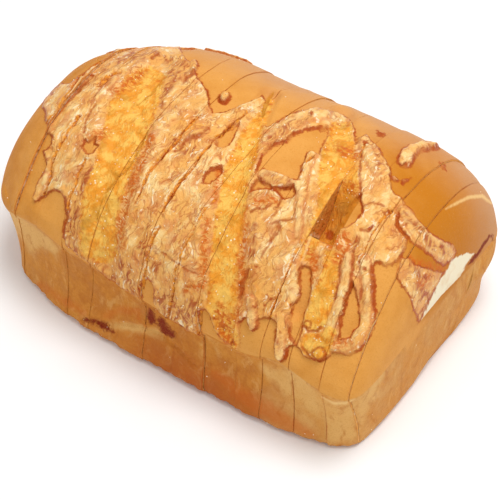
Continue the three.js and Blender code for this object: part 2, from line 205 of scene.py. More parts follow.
# Strands that stand out: their middle line and half width.
STRANDS = {
    "along the back": ((267, 141, 6), (280, 132, 6), (295, 122, 7), (310, 117, 6), (326, 117, 5)),
    "finger": ((264, 176, 6), (280, 180, 6), (296, 187, 6)),
    "upright": ((311, 158, 5), (306, 172, 5), (303, 190, 5), (300, 210, 5), (298, 236, 4)),
    "hook": ((438, 149, 4), (422, 148, 4), (412, 151, 5), (406, 158, 7), (405, 162, 6)),
    "wide": ((402, 212, 5), (415, 228, 8), (432, 246, 8), (446, 254, 8)),
    "big loop": (
        (366, 262, 6), (368, 285, 6), (368, 305, 6), (365, 325, 6), (357, 340, 6), (345, 348, 5),
        (336, 348, 5),
    ),
    "ridge": ((348, 257, 5), (347, 280, 6), (342, 302, 6), (334, 322, 6), (328, 336, 6)),
    "hump": ((364, 150, 6), (371, 160, 7), (378, 170, 7)),
    "left drip": ((48, 176, 4), (42, 186, 4), (37, 196, 4)),
    "first drip": ((251, 300, 5), (253, 315, 5), (253, 327, 4)),
    "second drip": ((282, 318, 6), (281, 338, 6), (280, 356, 5)),
    "third drip": ((314, 350, 6), (320, 353, 7)),
    "blob at the back": ((193, 66, 4), (194, 73, 4)),
    "ribbon": ((62, 104, 3), (72, 92, 3), (82, 81, 3)),
    "upper ribbon": ((96, 100, 3), (108, 88, 3), (116, 80, 3)),
    "fold by the finger": ((185, 141, 3), (196, 135, 4), (208, 132, 3)),
}
# Browned and fried places: middle line, half width.
TOASTED = {
    "top of the first slash": ((116, 93, 5), (128, 86, 6), (141, 75, 4)),
    "right of the first slash": (
        (151, 140, 4), (142, 163, 5), (134, 182, 5), (126, 205, 5), (121, 225, 5), (122, 246, 4),
    ),
    "left of the second slash": ((208, 220, 4), (206, 245, 5), (205, 265, 5), (203, 283, 4)),
    "second slash, upper left": ((220, 172, 2), (217, 188, 3), (215, 203, 3)),
    "right of the second slash": (
        (248, 208, 2), (245, 235, 4), (243, 262, 5), (242, 290, 4), (238, 322, 3),
    ),
    "foot of the second slash": ((222, 308, 6), (227, 325, 9), (229, 338, 7)),
    "third slash, upper": ((338, 151, 5), (354, 157, 6)),
    "third slash, middle": ((345, 186, 5), (353, 193, 7)),
    "third slash, left": ((307, 243, 5), (315, 262, 6), (312, 283, 3)),
    "below the gape": ((332, 246, 5), (346, 240, 8), (337, 260, 6)),
    "loop's end": ((338, 345, 4), (352, 343, 3)),
    "under the wide strand": ((409, 257, 3), (425, 267, 4), (442, 269, 3)),
    "in the torn corner": ((422, 283, 5), (429, 276, 5)),
    "left spot": ((99, 138, 5), (108, 134, 4)),
    "spot above the hole": ((90, 137, 3), (94, 135, 3)),
    "middle fringe": ((207, 255, 3), (203, 285, 5)),
    "dark foot": ((188, 288, 5), (199, 286, 5)),
    "patch": ((255, 203, 4), (270, 200, 4), (279, 203, 3)),
}
# Cheese that is thin, brown and frayed.
SCORCHED = {
    "left of the first slash": ((92, 166, 5), (84, 185, 8), (76, 208, 8), (73, 232, 8)),
    "left foot": ((72, 246, 6), (92, 260, 6), (110, 274, 6), (130, 290, 6)),
    "below the first slash": ((122, 262, 7), (132, 280, 7), (138, 290, 5)),
    "middle foot": ((160, 292, 8), (180, 312, 12), (195, 305, 12), (192, 325, 8)),
    "middle": ((148, 225, 6), (146, 250, 8), (160, 270, 8)),
    "right of the first slash, top": ((190, 66, 6), (178, 74, 8), (166, 88, 7), (158, 120, 4)),
    "by the dark hole": ((170, 140, 5), (190, 152, 8), (196, 145, 6)),
    "by the second slash": ((262, 270, 5), (268, 290, 8), (275, 305, 8)),
    "right of the second slash": ((256, 225, 3), (252, 255, 5)),
    "drip ends": ((255, 305, 5), (284, 315, 6), (284, 330, 5)),
    "top left": ((78, 92, 3), (96, 78, 4), (120, 62, 4), (150, 56, 5), (168, 62, 6)),
    "hump side": ((376, 158, 5), (380, 170, 5)),
    "loop side": ((356, 240, 5), (358, 262, 4)),
    "loop": ((361, 290, 4), (364, 312, 4)),
    "wide strand": ((402, 212, 3), (415, 228, 5), (432, 246, 6), (446, 254, 5)),
    "torn corner": ((408, 262, 3), (420, 280, 6), (424, 300, 6)),
    "along the back": ((270, 142, 4), (290, 128, 4), (310, 120, 3)),
    "finger": ((266, 178, 4), (290, 185, 4)),
    "second drip": ((282, 325, 3), (281, 345, 3)),
}
# Thin dark rims and seams: middle line, half width.
SEAMS = {
    "fold": (
        (180, 152, 1), (184, 144, 1.2), (190, 139, 1.5), (198, 138, 1.2), (204, 133, 1),
        (210, 131, 1.2),
    ),
    "second slash": ((248, 270, 1.5), (244, 282, 2), (240, 298, 1.5)),
    "hair": ((160, 250, 0.4), (178, 263, 0.5), (190, 271, 0.4), (199, 274, 0.4)),
    "patch top": (
        (250, 193, 1), (258, 190, 1.4), (268, 190, 1.4), (278, 193, 1.4), (283, 199, 1.2),
        (281, 203, 1), (277, 209, 1),
    ),
    "patch foot": ((252, 213, 1.5), (257, 209, 1), (267, 209, 1), (272, 205, 1)),
    "inner arch": ((272, 225, 0.8), (277, 222, 1), (280, 226, 1), (278, 234, 1), (270, 244, 0.8)),
    "long arch": ((262, 258, 0.8), (268, 247, 0.8), (274, 236, 0.8), (280, 222, 0.8), (292, 219, 0.8)),
    "hump": ((361, 152, 1), (360, 175, 1), (361, 195, 1.2), (363, 214, 1)),
    "loop left": ((354, 252, 1), (354, 270, 1), (351, 287, 1)),
    "ridge left": ((341, 262, 1), (340, 280, 1), (336, 300, 1.2)),
    "blister end": ((304, 326, 1.2), (309, 331, 1.2), (318, 331, 1), (322, 327, 1)),
    "flat ring": ((388, 212, 1.5), (384, 214, 1.5), (386, 220, 1.2)),
    "big patch": ((362, 230, 1), (369, 232, 1.5), (373, 228, 1)),
    "bead edge": ((372, 270, 1), (374, 290, 1.2), (375, 312, 1)),
    "pale crossing": ((363, 208, 0.6), (372, 205, 0.6), (384, 207, 0.6)),
    "left arch side": ((67, 199, 1.6), (68, 213, 1.8), (65, 230, 1.8), (67, 242, 1)),
    "second drip": ((276, 330, 1), (275, 345, 1.2), (277, 357, 1), (283, 361, 1.2), (287, 352, 1)),
    "first line": ((79, 79, 1), (88, 71, 1.2), (99, 64, 1.2)),
    "second line": ((71, 100, 1), (80, 90, 1.5), (88, 82, 1)),
    "third line": ((52, 123, 0.8), (62, 111, 1.2), (72, 98, 1)),
    "fourth line": ((75, 126, 1), (80, 118, 1.6)),
    "fifth line": ((100, 88, 1), (107, 82, 1)),
    "sixth line": ((84, 134, 0.8), (88, 118, 0.8), (96, 105, 0.6)),
    "seventh line": ((158, 55, 1.5), (152, 60, 1.5)),
    "eighth line": ((124, 57, 0.8), (133, 55, 1)),
    "ninth line": ((195, 75, 2), (187, 79, 1.5), (183, 85, 0.8)),
    "tenth line": ((201, 82, 1), (205, 90, 1), (209, 98, 1.3)),
    "loop foot": ((303, 346, 1), (313, 358, 1), (322, 361, 1.2), (330, 356, 1)),
}
# Gaps that opened in the cheese along the cuts: middle line, half width.
TEARS = {
    "first cut": (
        (99, 64, 1), (88, 73, 1.2), (80, 79, 1.5), (72, 90, 1.2), (63, 104, 0.6), (55, 115, 0.4),
        (48, 122, 0.8),
    ),
    "second cut, back": ((121, 73, 0.6), (111, 77, 1.5), (104, 82, 1.8), (98, 87, 0.9)),
    "second cut": (
        (80, 117, 1.2), (76, 124, 1), (68, 134, 0.8), (62, 146, 0.6), (54, 160, 0.8), (51, 178, 0.7),
        (46, 194, 0.6),
    ),
    "third cut": ((87, 161, 0.6), (79, 175, 0.9), (77, 185, 0.6), (71, 200, 0.8), (68, 222, 0.6)),
    "fifth cut": (
        (200, 117, 0.6), (186, 130, 1), (177, 143, 0.8), (168, 153, 1.5), (158, 163, 0.8),
        (151, 171, 1.2), (144, 186, 0.8), (137, 204, 0.5),
    ),
    "sixth cut, back": (
        (250, 112, 0.6), (232, 126, 0.8), (216, 140, 0.8), (204, 153, 0.9), (192, 170, 1),
        (181, 184, 1.2), (174, 194, 1.7), (167, 204, 1), (163, 212, 0.4),
    ),
    "sixth cut": ((160, 228, 0.6), (156, 236, 1.1), (151, 248, 0.6), (146, 276, 0.6), (144, 288, 0.8)),
    "seventh cut": (
        (216, 200, 0.6), (204, 212, 0.8), (196, 226, 0.5), (184, 250, 0.5), (177, 272, 0.5),
        (173, 300, 1.2), (171, 316, 0.8),
    ),
    "eighth cut": ((204, 300, 0.4), (202, 318, 0.5), (200, 332, 0.7)),
    "ninth cut": ((303, 168, 1), (309, 163, 1.2), (314, 159, 0.6)),
    "tenth cut": ((302, 240, 0.5), (292, 262, 0.5), (281, 290, 0.5), (271, 318, 0.6)),
    "eleventh cut": ((366, 146, 1.5), (360, 156, 0.6), (354, 164, 0.4)),
    "twelfth cut": (
        (391, 212, 1.5), (382, 222, 0.8), (372, 236, 0.9), (366, 250, 0.6), (361, 264, 0.8),
    ),
}
# Cracks in the golden slashes.
CRACKS = {
    "first slash": (
        (147, 134, 0.6), (141, 146, 1.2), (136, 155, 1), (131, 166, 1), (124, 174, 0.8),
        (117, 179, 0.9), (111, 186, 1.3), (108, 190, 0.9), (101, 206, 0.6), (96, 224, 0.5),
    ),
    "first slash, back": ((166, 77, 0.5), (156, 90, 0.8), (150, 96, 1), (137, 107, 0.5)),
    "second slash": ((262, 118, 1.4), (265, 108, 2.2), (270, 98, 2), (273, 92, 0.8)),
}
# How clearly each cut shows on the dome and on the wall, as shares, from the left.
CUT_SHOWS = {"dome": (0.8, 0.5, 0.7, 0.9, 0.9, 0.8, 0.5, 0.5, 0.6, 0.8, 0.9, 0.8, 0.8),
             "wall": (0.6, 0.9, 0.1, 0.2, 0.2, 0.5, 0.2, 1.0, 0.3, 0.6, 0.9, 1.0, 0.7)}
# How far the slice on a cut's left stands out over the next one on the dome, in millimetres.
CUT_STEP = (0.6, 0.4, 0, 0, 0, 0, 0.2, 0, -0.2, -0.3, -0.5, 0.4, 0.3)
# Dark holes, partly browned spots and partly painted shade in their pits, as in the gape: middle and
# half width.
HOLES = (
    (176, 152, 2.2), (366, 145, 3.5), (330, 236, 5), (341, 187, 1.8), (257, 266, 2), (143, 242, 1.3),
    (366, 271, 2.2), (361, 264, 1.4), (311, 117, 1.5), (425, 278, 2), (426, 294, 2), (442, 248, 2.4),
    (388, 213, 1.5), (371, 230, 2), (225, 328, 2), (234, 341, 2), (216, 317, 1.8), (52, 95, 2),
    (92, 77, 1.8), (97, 65, 1.2), (407, 226, 1.5), (90, 120, 0.9), (402, 183, 1.4), (271, 300, 1.5),
    (266, 305, 1.5),
)
# Blisters with a dark ring: middle and half width.
RINGS = ((224, 98, 5.5), (321, 353, 6), (309, 325, 3.5))
# Pale places of the crust and the side; the wedge, the right corner and the last side are painted
# light, where the shoulder's ledge, a fold and the right end catch the light.
PALE_AND_LIT = {
    "wedge on the side": (
        (260, 364), (290, 372), (303, 380), (318, 393), (322, 402), (317, 417), (302, 402), (284, 388),
        (268, 378),
    ),
    "left corner": (
        (8, 208), (22, 216), (40, 232), (60, 248), (56, 254), (40, 246), (30, 252), (25, 242),
        (14, 228),
    ),
    "ledge": ((106, 323), (125, 323), (140, 326), (158, 330), (160, 335), (135, 332), (110, 328)),
    "right corner": ((322, 398), (345, 404), (356, 400), (354, 436), (341, 441), (328, 438)),
    "last side": ((358, 400), (368, 388), (384, 368), (378, 392), (368, 410), (358, 432)),
}
# Burnt spots, then strokes that darken the side low down: middle line, half width.
BURNT = {
    "crease": ((84, 320, 1.2), (95, 322, 2.2), (103, 326, 3.5), (112, 331, 1.5)),
    "upper spot": ((151, 313, 4), (152, 321, 4)),
    "lower spot": ((161, 321, 3.5), (166, 330, 5), (172, 335, 3.5)),
    "under the left corner": ((8, 219, 1.2), (10, 223, 0.8)),
    "back corner": ((491, 237, 1.2), (493, 240, 0.8)),
}
DARKENED_LOW = {
    "by the crease": ((106, 316, 4), (122, 309, 5), (138, 312, 4), (139, 320, 2)),
    "foot": ((215, 372, 5), (240, 392, 8), (262, 408, 9), (290, 424, 8), (310, 434, 6)),
    "left foot": ((40, 285, 5), (70, 305, 5), (85, 312, 4)),
}
# Pale edges of slices that stand out over the next one, part crumb and part painted highlight; the
# front lip's is painted highlight: middle line, half width.
PALE_EDGES_AND_HIGHLIGHTS = {
    "last cut": ((446, 209, 0.6), (457, 203, 1.2), (470, 197, 1.6), (482, 196, 1.6), (491, 203, 1)),
    "by the gape": ((303, 262, 0.8), (310, 240, 1.2), (318, 225, 1.4), (328, 210, 0.8)),
    "front lip": ((322, 397, 0.4), (334, 403, 1.1), (346, 403, 1.1), (355, 399, 0.4)),
}
# The torn pale seam at the right end.
BROKEN = (
    (419, 328), (424, 314), (430, 299), (437, 287), (444, 275), (451, 262), (457, 256), (466, 253),
    (475, 253), (466, 265), (457, 280), (449, 293), (439, 306), (428, 318),
)
# The slit at the right end, painted dark as the shade in the gap between slices, and the crease in the
# side: middle line, half width.
SLIT = {
    "over the right end": ((489, 236, 1), (480, 250, 1.6), (470, 264, 1.6), (462, 276, 1)),
}
CREASE = {
    "low on the side": (
        (84, 319, 1.5), (105, 324, 2), (130, 324, 1.2), (158, 332, 1.5), (178, 349, 1), (195, 367, 0.8),
    ),
}


def tone(red, green, blue):
    """A screen colour, 0 to 255 a channel, as Blender's linear colour."""
    shares = [c / 255 for c in (red, green, blue)]
    return tuple(c / 12.92 if c <= 0.04045 else ((c + 0.055) / 1.055) ** 2.4 for c in shares)


class LoafSizes(bpy.types.PropertyGroup):
    step: FloatProperty(name="Step", description="Spacing of the points on a slice",
                        default=0.00046, min=0.0002, unit="LENGTH")
    seen_gap: FloatProperty(name="Gap", description="Gap that shows between two slices",
                            default=0.0001, unit="LENGTH")
    groove: FloatProperty(name="Groove", description="Rounding of the crust along a cut",
                          default=0.0004, unit="LENGTH")
    cheese: FloatProperty(name="Cheese", description="Thickness of the melted cheese",
                          default=0.0010, unit="LENGTH")
    strand: FloatProperty(name="Strand", description="How far a strand stands out of the cheese",
                          default=0.0011, unit="LENGTH")
    crumbs: IntProperty(name="Crumbs", description="How many loose crumbs lie on the loaf",
                        default=420, min=0)
    crumb: FloatProperty(name="Crumb", description="Width of a loose crumb",
                         default=0.0007, unit="LENGTH")


def colour(name, description, default):
    return FloatVectorProperty(name=name, description=description, default=default,
                               subtype="COLOR", min=0, max=1)


class LoafColours(bpy.types.PropertyGroup):
    crust: colour("Crust", "Bare crust on the dome", tone(228, 160, 76))
    crust_deep: colour("Deep crust", "Browner crust on the dome", tone(198, 120, 22))
    crust_dull: colour("Dull crust", "Crust on the loaf's back edge", tone(204, 150, 104))
    wall: colour("Wall", "Pan-baked side", tone(212, 140, 54))
    wall_deep: colour("Deep wall", "Browner pan-baked side", tone(188, 108, 32))
    # Also laid as painted light where the side catches the light
    wall_pale: colour("Pale wall", "Side that the tin kept pale", tone(228, 176, 102))
    melt: colour("Melted cheese", "Thin melted cheese", tone(240, 176, 94))
    # Also laid at the cuts' pale edges, in part as painted highlight
    melt_pale: colour("Pale cheese", "Thick melted cheese", tone(250, 210, 140))
    melt_vein: colour("Veins", "Thin, browner folds in the cheese", tone(214, 130, 74))
    melt_brown: colour("Browned cheese", "Frayed, browned cheese", tone(176, 78, 26))
    gold: colour("Golden cheese", "Cheese in the slashes", tone(238, 154, 46))
    gold_pale: colour("Pale golden cheese", "Thicker cheese in the slashes", tone(247, 192, 90))
    gold_olive: colour("Olive cheese", "Cheese that sank into a slash", tone(204, 136, 38))
    toast: colour("Toasted cheese", "Fried cheese", tone(208, 102, 24))
    # Also laid as painted shade along the cuts and in the holes' pits
    line: colour("Edges", "Dark rim of melted cheese", tone(174, 70, 8))
    # Also painted shade in the slit between the last slices
    burn_and_gap_shade: colour("Burnt", "Burnt spots", tone(128, 32, 2))
    crumb: colour("Crumb", "Inside of the bread", tone(250, 236, 204))
    # Painted highlight: pale colour laid on the cheese's ridges, on flecks and on the tears' lips,
    # where it would glint
    painted_highlight: colour("Gleam", "Thin pale skin on the ridges of the cheese", tone(255, 234, 192))


def lerp(a, b, share):
    return a + (b - a) * share


def smoothstep(value, low, high):
    share = np.clip((value - low) / (high - low), 0, 1)
    return share * share * (3 - 2 * share)


# ---- outline of the loaf -----------------------------------------------------------

def length_share(x):
    """Place along the loaf, from -1 at the left end to 1 at the right."""
    return x / np.where(np.asarray(x) < 0, LEFT_LENGTH, RIGHT_LENGTH)


def plan_share(powers, u):
    """Half width of a plan at u, as a share of its greatest."""
    power = np.where(u < 0, powers[0], powers[1])
    return np.clip(1 - np.abs(u) ** power, 0, 1) ** (1 / power)


def side_name(side):
    return "front" if side < 0 else "back"


def rim_y(u, side):
    width = FRONT_WIDTH if side < 0 else BACK_WIDTH
    return side * width * plan_share(RIM_POWER[side_name(side)], u)


def bell(distance, reach):
    """1 at no distance, and little past the reach."""
    return np.exp(-((distance / reach) ** 2))


def wall_y(x, side, z):
    """Where a wall stands: it swells at the belly, is pinched halfway up and ends under the rim."""
    u = length_share(x)
    belly = BELLY["size"] * bell(x - BELLY["x"], BELLY["reach"]) if side < 0 else 0
    half_width = BASE_WIDTH / 2 * plan_share(BASE_POWER[side_name(side)], u)
    foot = BASE_SHIFT - belly + side * half_width
    top = rim_y(u, side) - side * RIM_OVERHANG
    share = np.clip(z / RIM_HEIGHT, 0, 1)
    pinch = WALL_PINCH * np.sin(np.pi * share)
    return lerp(foot, top, smoothstep(share, 0, 1)) - side * pinch


def foot_inset(z):
    """How far the rounded foot draws a wall in."""
    drop = np.clip(FOOT_RADIUS - z, 0, FOOT_RADIUS)
    return FOOT_RADIUS - np.sqrt(FOOT_RADIUS ** 2 - drop ** 2)


def corner_power(powers, u, v):
    """A power that changes smoothly from one corner to the next."""
    right = 0.5 + 0.5 * np.tanh(CORNER_BLEND * u)
    back = 0.5 + 0.5 * np.tanh(CORNER_BLEND * v)
    return lerp(lerp(*powers["front"], right), lerp(*powers["back"], right), back)


def reach_out(u, v, power):
    """How far out a place lies, by a rounded square of a power."""
    return (np.abs(u) ** power + np.abs(v) ** power) ** (1 / power)


def crest_share(u, y):
    """Height of the dome where its sections are crests, as a share of the crown's height."""
    rim = np.maximum(np.abs(np.where(y < 0, rim_y(u, -1), rim_y(u, 1))), 1e-6)
    out = np.minimum(1, np.abs(y) / rim)
    back = 0.5 + 0.5 * np.tanh(CORNER_BLEND * y / np.where(y < 0, FRONT_WIDTH, BACK_WIDTH))
    power = lerp(CREST["front"], CREST["back"], back)
    end = CREST["end"]
    return (1 - np.abs(u) ** end) ** (1 / end) * (1 - out ** power) ** (1 / power)


def dome_height(u, y):
    """Height of the dome, whose level lines turn from rounder corners to the rim's own."""
    v = y / np.where(y < 0, FRONT_WIDTH, BACK_WIDTH)
    front, back = (np.where(u < 0, *RIM_POWER[side]) for side in ("front", "back"))
    square = np.minimum(1, reach_out(u, v, np.where(y < 0, front, back)))
    level = reach_out(u, v, corner_power(LEVEL_POWER, u, v))
    reach = np.minimum(lerp(level, square, square ** SQUARING), 1 - SHELF_RISE * (1 - square))
    right = 0.5 + 0.5 * np.tanh(DOME_POWER["haste"] * (u - DOME_POWER["at"]))
    power = lerp(DOME_POWER["left"], DOME_POWER["right"], right)
    crown = CROWN_HEIGHT + SHOULDER_LIFT * u * u - RIM_HEIGHT
    rounded = (1 - reach ** power) ** (1 / power)
    crested = smoothstep(u, CREST["from"], CREST["to"])
    return RIM_HEIGHT + crown * lerp(rounded, crest_share(u, y), crested)


# Points round a section: along half the foot, up a wall, and over the dome.
FOOT_POINTS, WALL_POINTS, DOME_POINTS = 40, 72, 410
CORNER_POINTS = 9


def wall_side(x, side, density):
    """Points of one wall, from the middle of the foot up to the rim."""
    foot_edge = wall_y(x, side, 0.0) - side * FOOT_RADIUS
    share = np.linspace(0, 1, round(FOOT_POINTS * density), endpoint=False)
    foot = lerp(BASE_SHIFT, foot_edge, share)
    turn = np.linspace(0, np.pi / 2, CORNER_POINTS)
    corner_z = FOOT_RADIUS * (1 - np.cos(turn[:-1]))
    corner = wall_y(x, side, corner_z) - side * foot_inset(corner_z)
    wall_z = np.linspace(FOOT_RADIUS, RIM_HEIGHT - RIM_UNDERCUT, round(WALL_POINTS * density))
    wall = wall_y(x, side, wall_z)
    lip_z = RIM_HEIGHT - RIM_UNDERCUT * np.cos(turn[1:-1])
    lip = rim_y(length_share(x), side) - side * RIM_OVERHANG * (1 - np.sin(turn[1:-1]))
    y = np.concatenate([foot, corner, wall, lip], axis=1)
    z = np.concatenate([np.zeros_like(share), corner_z, wall_z, lip_z])
    return y, np.broadcast_to(z, y.shape)


def sections(x, density):
    """Smooth sections of the loaf at the places x: their points' y and z."""
    x = x[:, None]
    u = length_share(x)
    front_y, front_z = wall_side(x, -1, density)
    back_y, back_z = wall_side(x, 1, density)
    sweep = np.cos(np.linspace(0, np.pi, round(DOME_POINTS * density)))
    dome_y = np.where(sweep > 0, rim_y(u, -1) * sweep, -rim_y(u, 1) * sweep)
    dome_z = dome_height(u, dome_y)
    y = np.concatenate([front_y, dome_y, back_y[:, :0:-1]], axis=1)
    z = np.concatenate([front_z, dome_z, back_z[:, :0:-1]], axis=1)
    return y, z


def along_cuts(values, x, ends):
    """A cut's turn or lean at x, from those of the cuts beside it, given in hundredths."""
    places = (-LEFT_LENGTH, *CUT_AT, RIGHT_LENGTH)
    return np.interp(x, places, (ends[0], *values, ends[1])) / 100


def end_tuck(x, y, z):
    """How far the heels' ends stand in or out along the loaf; the slices between are straight."""
    u = length_share(x)
    heel_starts = np.abs(length_share(np.where(u < 0, CUT_AT[0], CUT_AT[-1])))
    blend = smoothstep((np.abs(u) - heel_starts) / (1 - heel_starts), 0, 1)
    under = (1 - np.clip(z / RIM_HEIGHT, 0, 1)) ** TUCK_POWER
    tuck = LEFT_TUCK * (u < 0)
    foot = END_FOOT_SHARE * foot_inset(z) * smoothstep(np.abs(u), FOOT_TIGHTENS, 1)
    flare = FLARE["size"] * bell(z - FLARE["z"], FLARE["height"])
    flare = flare * smoothstep(y, 0, FLARE["y"]) * (u > 0)
    return flare * blend - np.sign(u) * (tuck * under * blend + foot)


def lip_lift(x, y, z):
    """How far the front lip is lifted, which also moves the wall and the dome beside it."""
    level = smoothstep(1 - np.abs(z - RIM_HEIGHT) / LIP_LIFT_HEIGHT, 0, 1)
    front = level * smoothstep(-y, 0, FRONT_WIDTH)
    return sum(front * lift * bell(x - at, reach) for at, lift, reach in LIP_LIFTS)


def placed(x, y, z, index):
    """Points of a section where the cuts' turn and lean put them, in the solids' frame."""
    station = x[:, :1]
    lifted = z + lip_lift(x, y, z)
    turned = x + along_cuts(CUT_TURN, station, END_TURN) * y
    leaned = turned + along_cuts(CUT_LEAN, station, END_LEAN) * (lifted - CUT_PIVOT_HEIGHT)
    return np.stack([leaned + end_tuck(station, y, z) + CENTRING[0],
                     y + SLICE_SHIFT[index] + CENTRING[1], lifted], axis=-1)


def near_run(points, x, y):
    """Distance to a run of straight pieces, and the half width at the nearest place."""
    best = np.full(x.shape, np.inf)
    width = np.ones(x.shape)
    for (ax, ay, aw), (bx, by, bw) in zip(points, points[1:]):
        along = (x - ax) * (bx - ax) + (y - ay) * (by - ay)
        t = np.clip(along / ((bx - ax) ** 2 + (by - ay) ** 2), 0, 1)
        distance = np.hypot(x - lerp(ax, bx, t), y - lerp(ay, by, t))
        closer = distance < best
        best = np.where(closer, distance, best)
        width = np.where(closer, lerp(aw, bw, t), width)
    return best, width


def slash_drop(x, y):
    """How far down each place is in a slash, as a share of its depth."""
    shares = [np.divide(*near_run(slash, x, y)) for slash in SLASHES]
    return 1 - smoothstep(np.minimum.reduce(shares), *SLASH_WALL)


def gape_drop(x, y, index):
    """How far the top of the gape's slice lies lower, in millimetres."""
    if index != GAPE["slice"]:
        return np.zeros(y.shape)
    away = y - GAPE["y"]
    along = np.abs(away) / np.where(away > 0, GAPE["back"], GAPE["front"])
    from_cut = x - CUT_AT[index - 1]
    return (GAPE["depth"] - GAPE["tilt"] * from_cut) * (1 - smoothstep(along, GAPE["floor"], 1))


# ---- the loaf as the camera sees it -----------------------------------------------------

def camera_axes():
    tip, _, turn = (math.radians(a) for a in CAMERA_TURN)
    right = np.array([math.cos(turn), math.sin(turn), 0])
    up = np.array([-math.cos(tip) * math.sin(turn), math.cos(tip) * math.cos(turn), math.sin(tip)])
    back = np.array([math.sin(tip) * math.sin(turn), -math.sin(tip) * math.cos(turn), math.cos(tip)])
    return right, up, back


def to_photo(points):
    """Where points of the loaf fall on the photograph, in its pixels."""
    right, up, back = camera_axes()
    away = points - np.array(CAMERA_AT)
    depth = -(away @ back)
    across = PHOTO_SIZE / 2 + CAMERA_FOCUS * (away @ right) / depth
    down = PHOTO_SIZE / 2 - CAMERA_FOCUS * (away @ up) / depth
    return across, down


# ---- what covers each place ---------------------------------------------------------------

FAR = 12.0                          # pixels beyond which an outline has no say
PIXELS_PER_MM = 2.37                # of the photograph, at the loaf
SEEN = (0.02, 0.12)                 # cosines over which a place turns towards the camera
# How traced edges fray: width of the waves and their reach in pixels, and a seed.
FRAY = ((2.7, 1.1, 1), (1.1, 0.5, 2))
STROKES = {"strand": STRANDS, "toast": TOASTED, "scorch": SCORCHED, "seam": SEAMS, "tear": TEARS,
           "crack": CRACKS, "burnt": BURNT, "darkened": DARKENED_LOW, "slit": SLIT, "crease": CREASE}
# Places along the loaf, and how pale its side or how brown its dome is there: in part real baking, in
# part painted light, the side lighter and the dome's ends darker as the light falls on them.
SIDE_PALE_AND_LIT = ((-100, 0.6), (-85, 0.4), (-60, 0.2), (-20, 0.05), (20, 0), (50, 0.05), (62, 0.4),
             (72, 0.6), (85, 0.5), (100, 0.4))
BROWN_AND_SHADE_LEFT = ((-97, 0.7), (-80, 0.5), (-40, 0.1))
BROWN_AND_SHADE_RIGHT = ((40, 0), (70, 0.6), (95, 0.9))
# how pale the side is out of sight, and in the traced pale places, which are partly painted light
BACK_PALE, TRACED_PALE = 0.2, 0.85
BACK_DULL = 0.35
DARK_FOOT = {"x": 26, "reach": 40, "from": 26, "to": 4}
RING_WIDTH = 0.9
# The cheese on the far side: where it begins and ends along the loaf, and its lower edge.
FAR_CHEESE = {"from": -88, "to": -28, "above": 56, "drip": 6, "fray": 4}


# Large odd numbers that scatter the noise's cells, for each axis, the seed and a last turn.
SCATTER = {"axes": (73856093, 19349663, 83492791), "seed": 961748927, "turn": 1274126177}


def noise(points, size, seed):
    """Smooth noise from -1 to 1 over points in millimetres."""
    place = points / size
    cell = np.floor(place).astype(np.int64)
    share = place - cell
    share = share * share * (3 - 2 * share)
    total = np.zeros(points.shape[:-1])
    for corner in np.ndindex(2, 2, 2):
        keys = (cell + np.array(corner)) * np.array(SCATTER["axes"])
        mixed = np.bitwise_xor.reduce(keys, axis=-1) ^ seed * SCATTER["seed"]
        mixed = (mixed ^ (mixed >> 13)) * SCATTER["turn"] & 0x7FFFFFFF
        value = ((mixed ^ (mixed >> 16)) & 0xFFFF) / 32767.5 - 1
        total += value * np.prod(np.where(corner, share, 1 - share), axis=-1)
    return total


def beside(corners, x, y, reach=0.0):
    """The places within reach of some corners, as a mask."""
    low, high = corners.min(axis=0) - FAR - reach, corners.max(axis=0) + FAR + reach
    return (x > low[0]) & (x < high[0]) & (y > low[1]) & (y < high[1])


def area_depth(outline, x, y):
    """How far inside an outline places lie, in pixels; less than nothing is outside."""
    corners = np.array(outline, float)
    depth = np.full(x.shape, -FAR)
    near = beside(corners, x, y)
    at_x, at_y = x[near], y[near]
    nearest = np.full(at_x.shape, np.inf)
    inside = np.zeros(at_x.shape, bool)
    for (ax, ay), (bx, by) in zip(corners, np.roll(corners, -1, axis=0)):
        span = max((bx - ax) ** 2 + (by - ay) ** 2, 1e-9)
        t = np.clip(((at_x - ax) * (bx - ax) + (at_y - ay) * (by - ay)) / span, 0, 1)
        nearest = np.minimum(nearest, np.hypot(at_x - lerp(ax, bx, t), at_y - lerp(ay, by, t)))
        if ay != by:
            inside ^= ((ay > at_y) != (by > at_y)) & (at_x < ax + (at_y - ay) * (bx - ax) / (by - ay))
    depth[near] = np.where(inside, nearest, -nearest)
    return np.clip(depth, -FAR, FAR)


def areas_depth(outlines, x, y):
    return np.maximum.reduce([area_depth(outline, x, y) for outline in outlines.values()])


def line_depth(run, x, y):
    """How far inside a stroke places lie, in pixels; a stroke is a run of x, y, half width."""
    corners = np.array(run, float)
    depth = np.full(x.shape, -FAR)
    near = beside(corners[:, :2], x, y, corners[:, 2].max())
    distance, half_width = near_run(corners, x[near], y[near])
    depth[near] = half_width - distance
    return np.maximum(depth, -FAR)


def lines_depth(runs, x, y):
    return np.maximum.reduce([line_depth(run, x, y) for run in runs.values()])


def dots_depth(dots, x, y):
    return np.maximum.reduce([np.maximum(r - np.hypot(x - cx, y - cy), -FAR) for cx, cy, r in dots])


def rings_depth(rings, x, y):
    return np.maximum.reduce([RING_WIDTH - np.abs(np.hypot(x - cx, y - cy) - r)
                              for cx, cy, r in rings])


def hidden_cheese(points, x, z):
    """Cheese on the far side, where it runs down the back of the left half."""
    drips = noise(points * (1, 1, 0.3), 7, 11) + 0.5 * noise(points, 3, 12)
    along = np.minimum(x - FAR_CHEESE["from"], FAR_CHEESE["to"] - x) + FAR_CHEESE["drip"] * drips
    above = z - FAR_CHEESE["above"] - 5 * drips
    return PIXELS_PER_MM * np.clip(np.minimum(along, above), -FAR_CHEESE["fray"], FAR_CHEESE["fray"])


def frayed(points, across, down):
    """Places on the photograph, moved about a little so that traced edges aren't smooth."""
    for size, reach, seed in FRAY:
        across = across + reach * noise(points, size, seed)
        down = down + reach * noise(points, size, seed + len(FRAY))
    return across, down


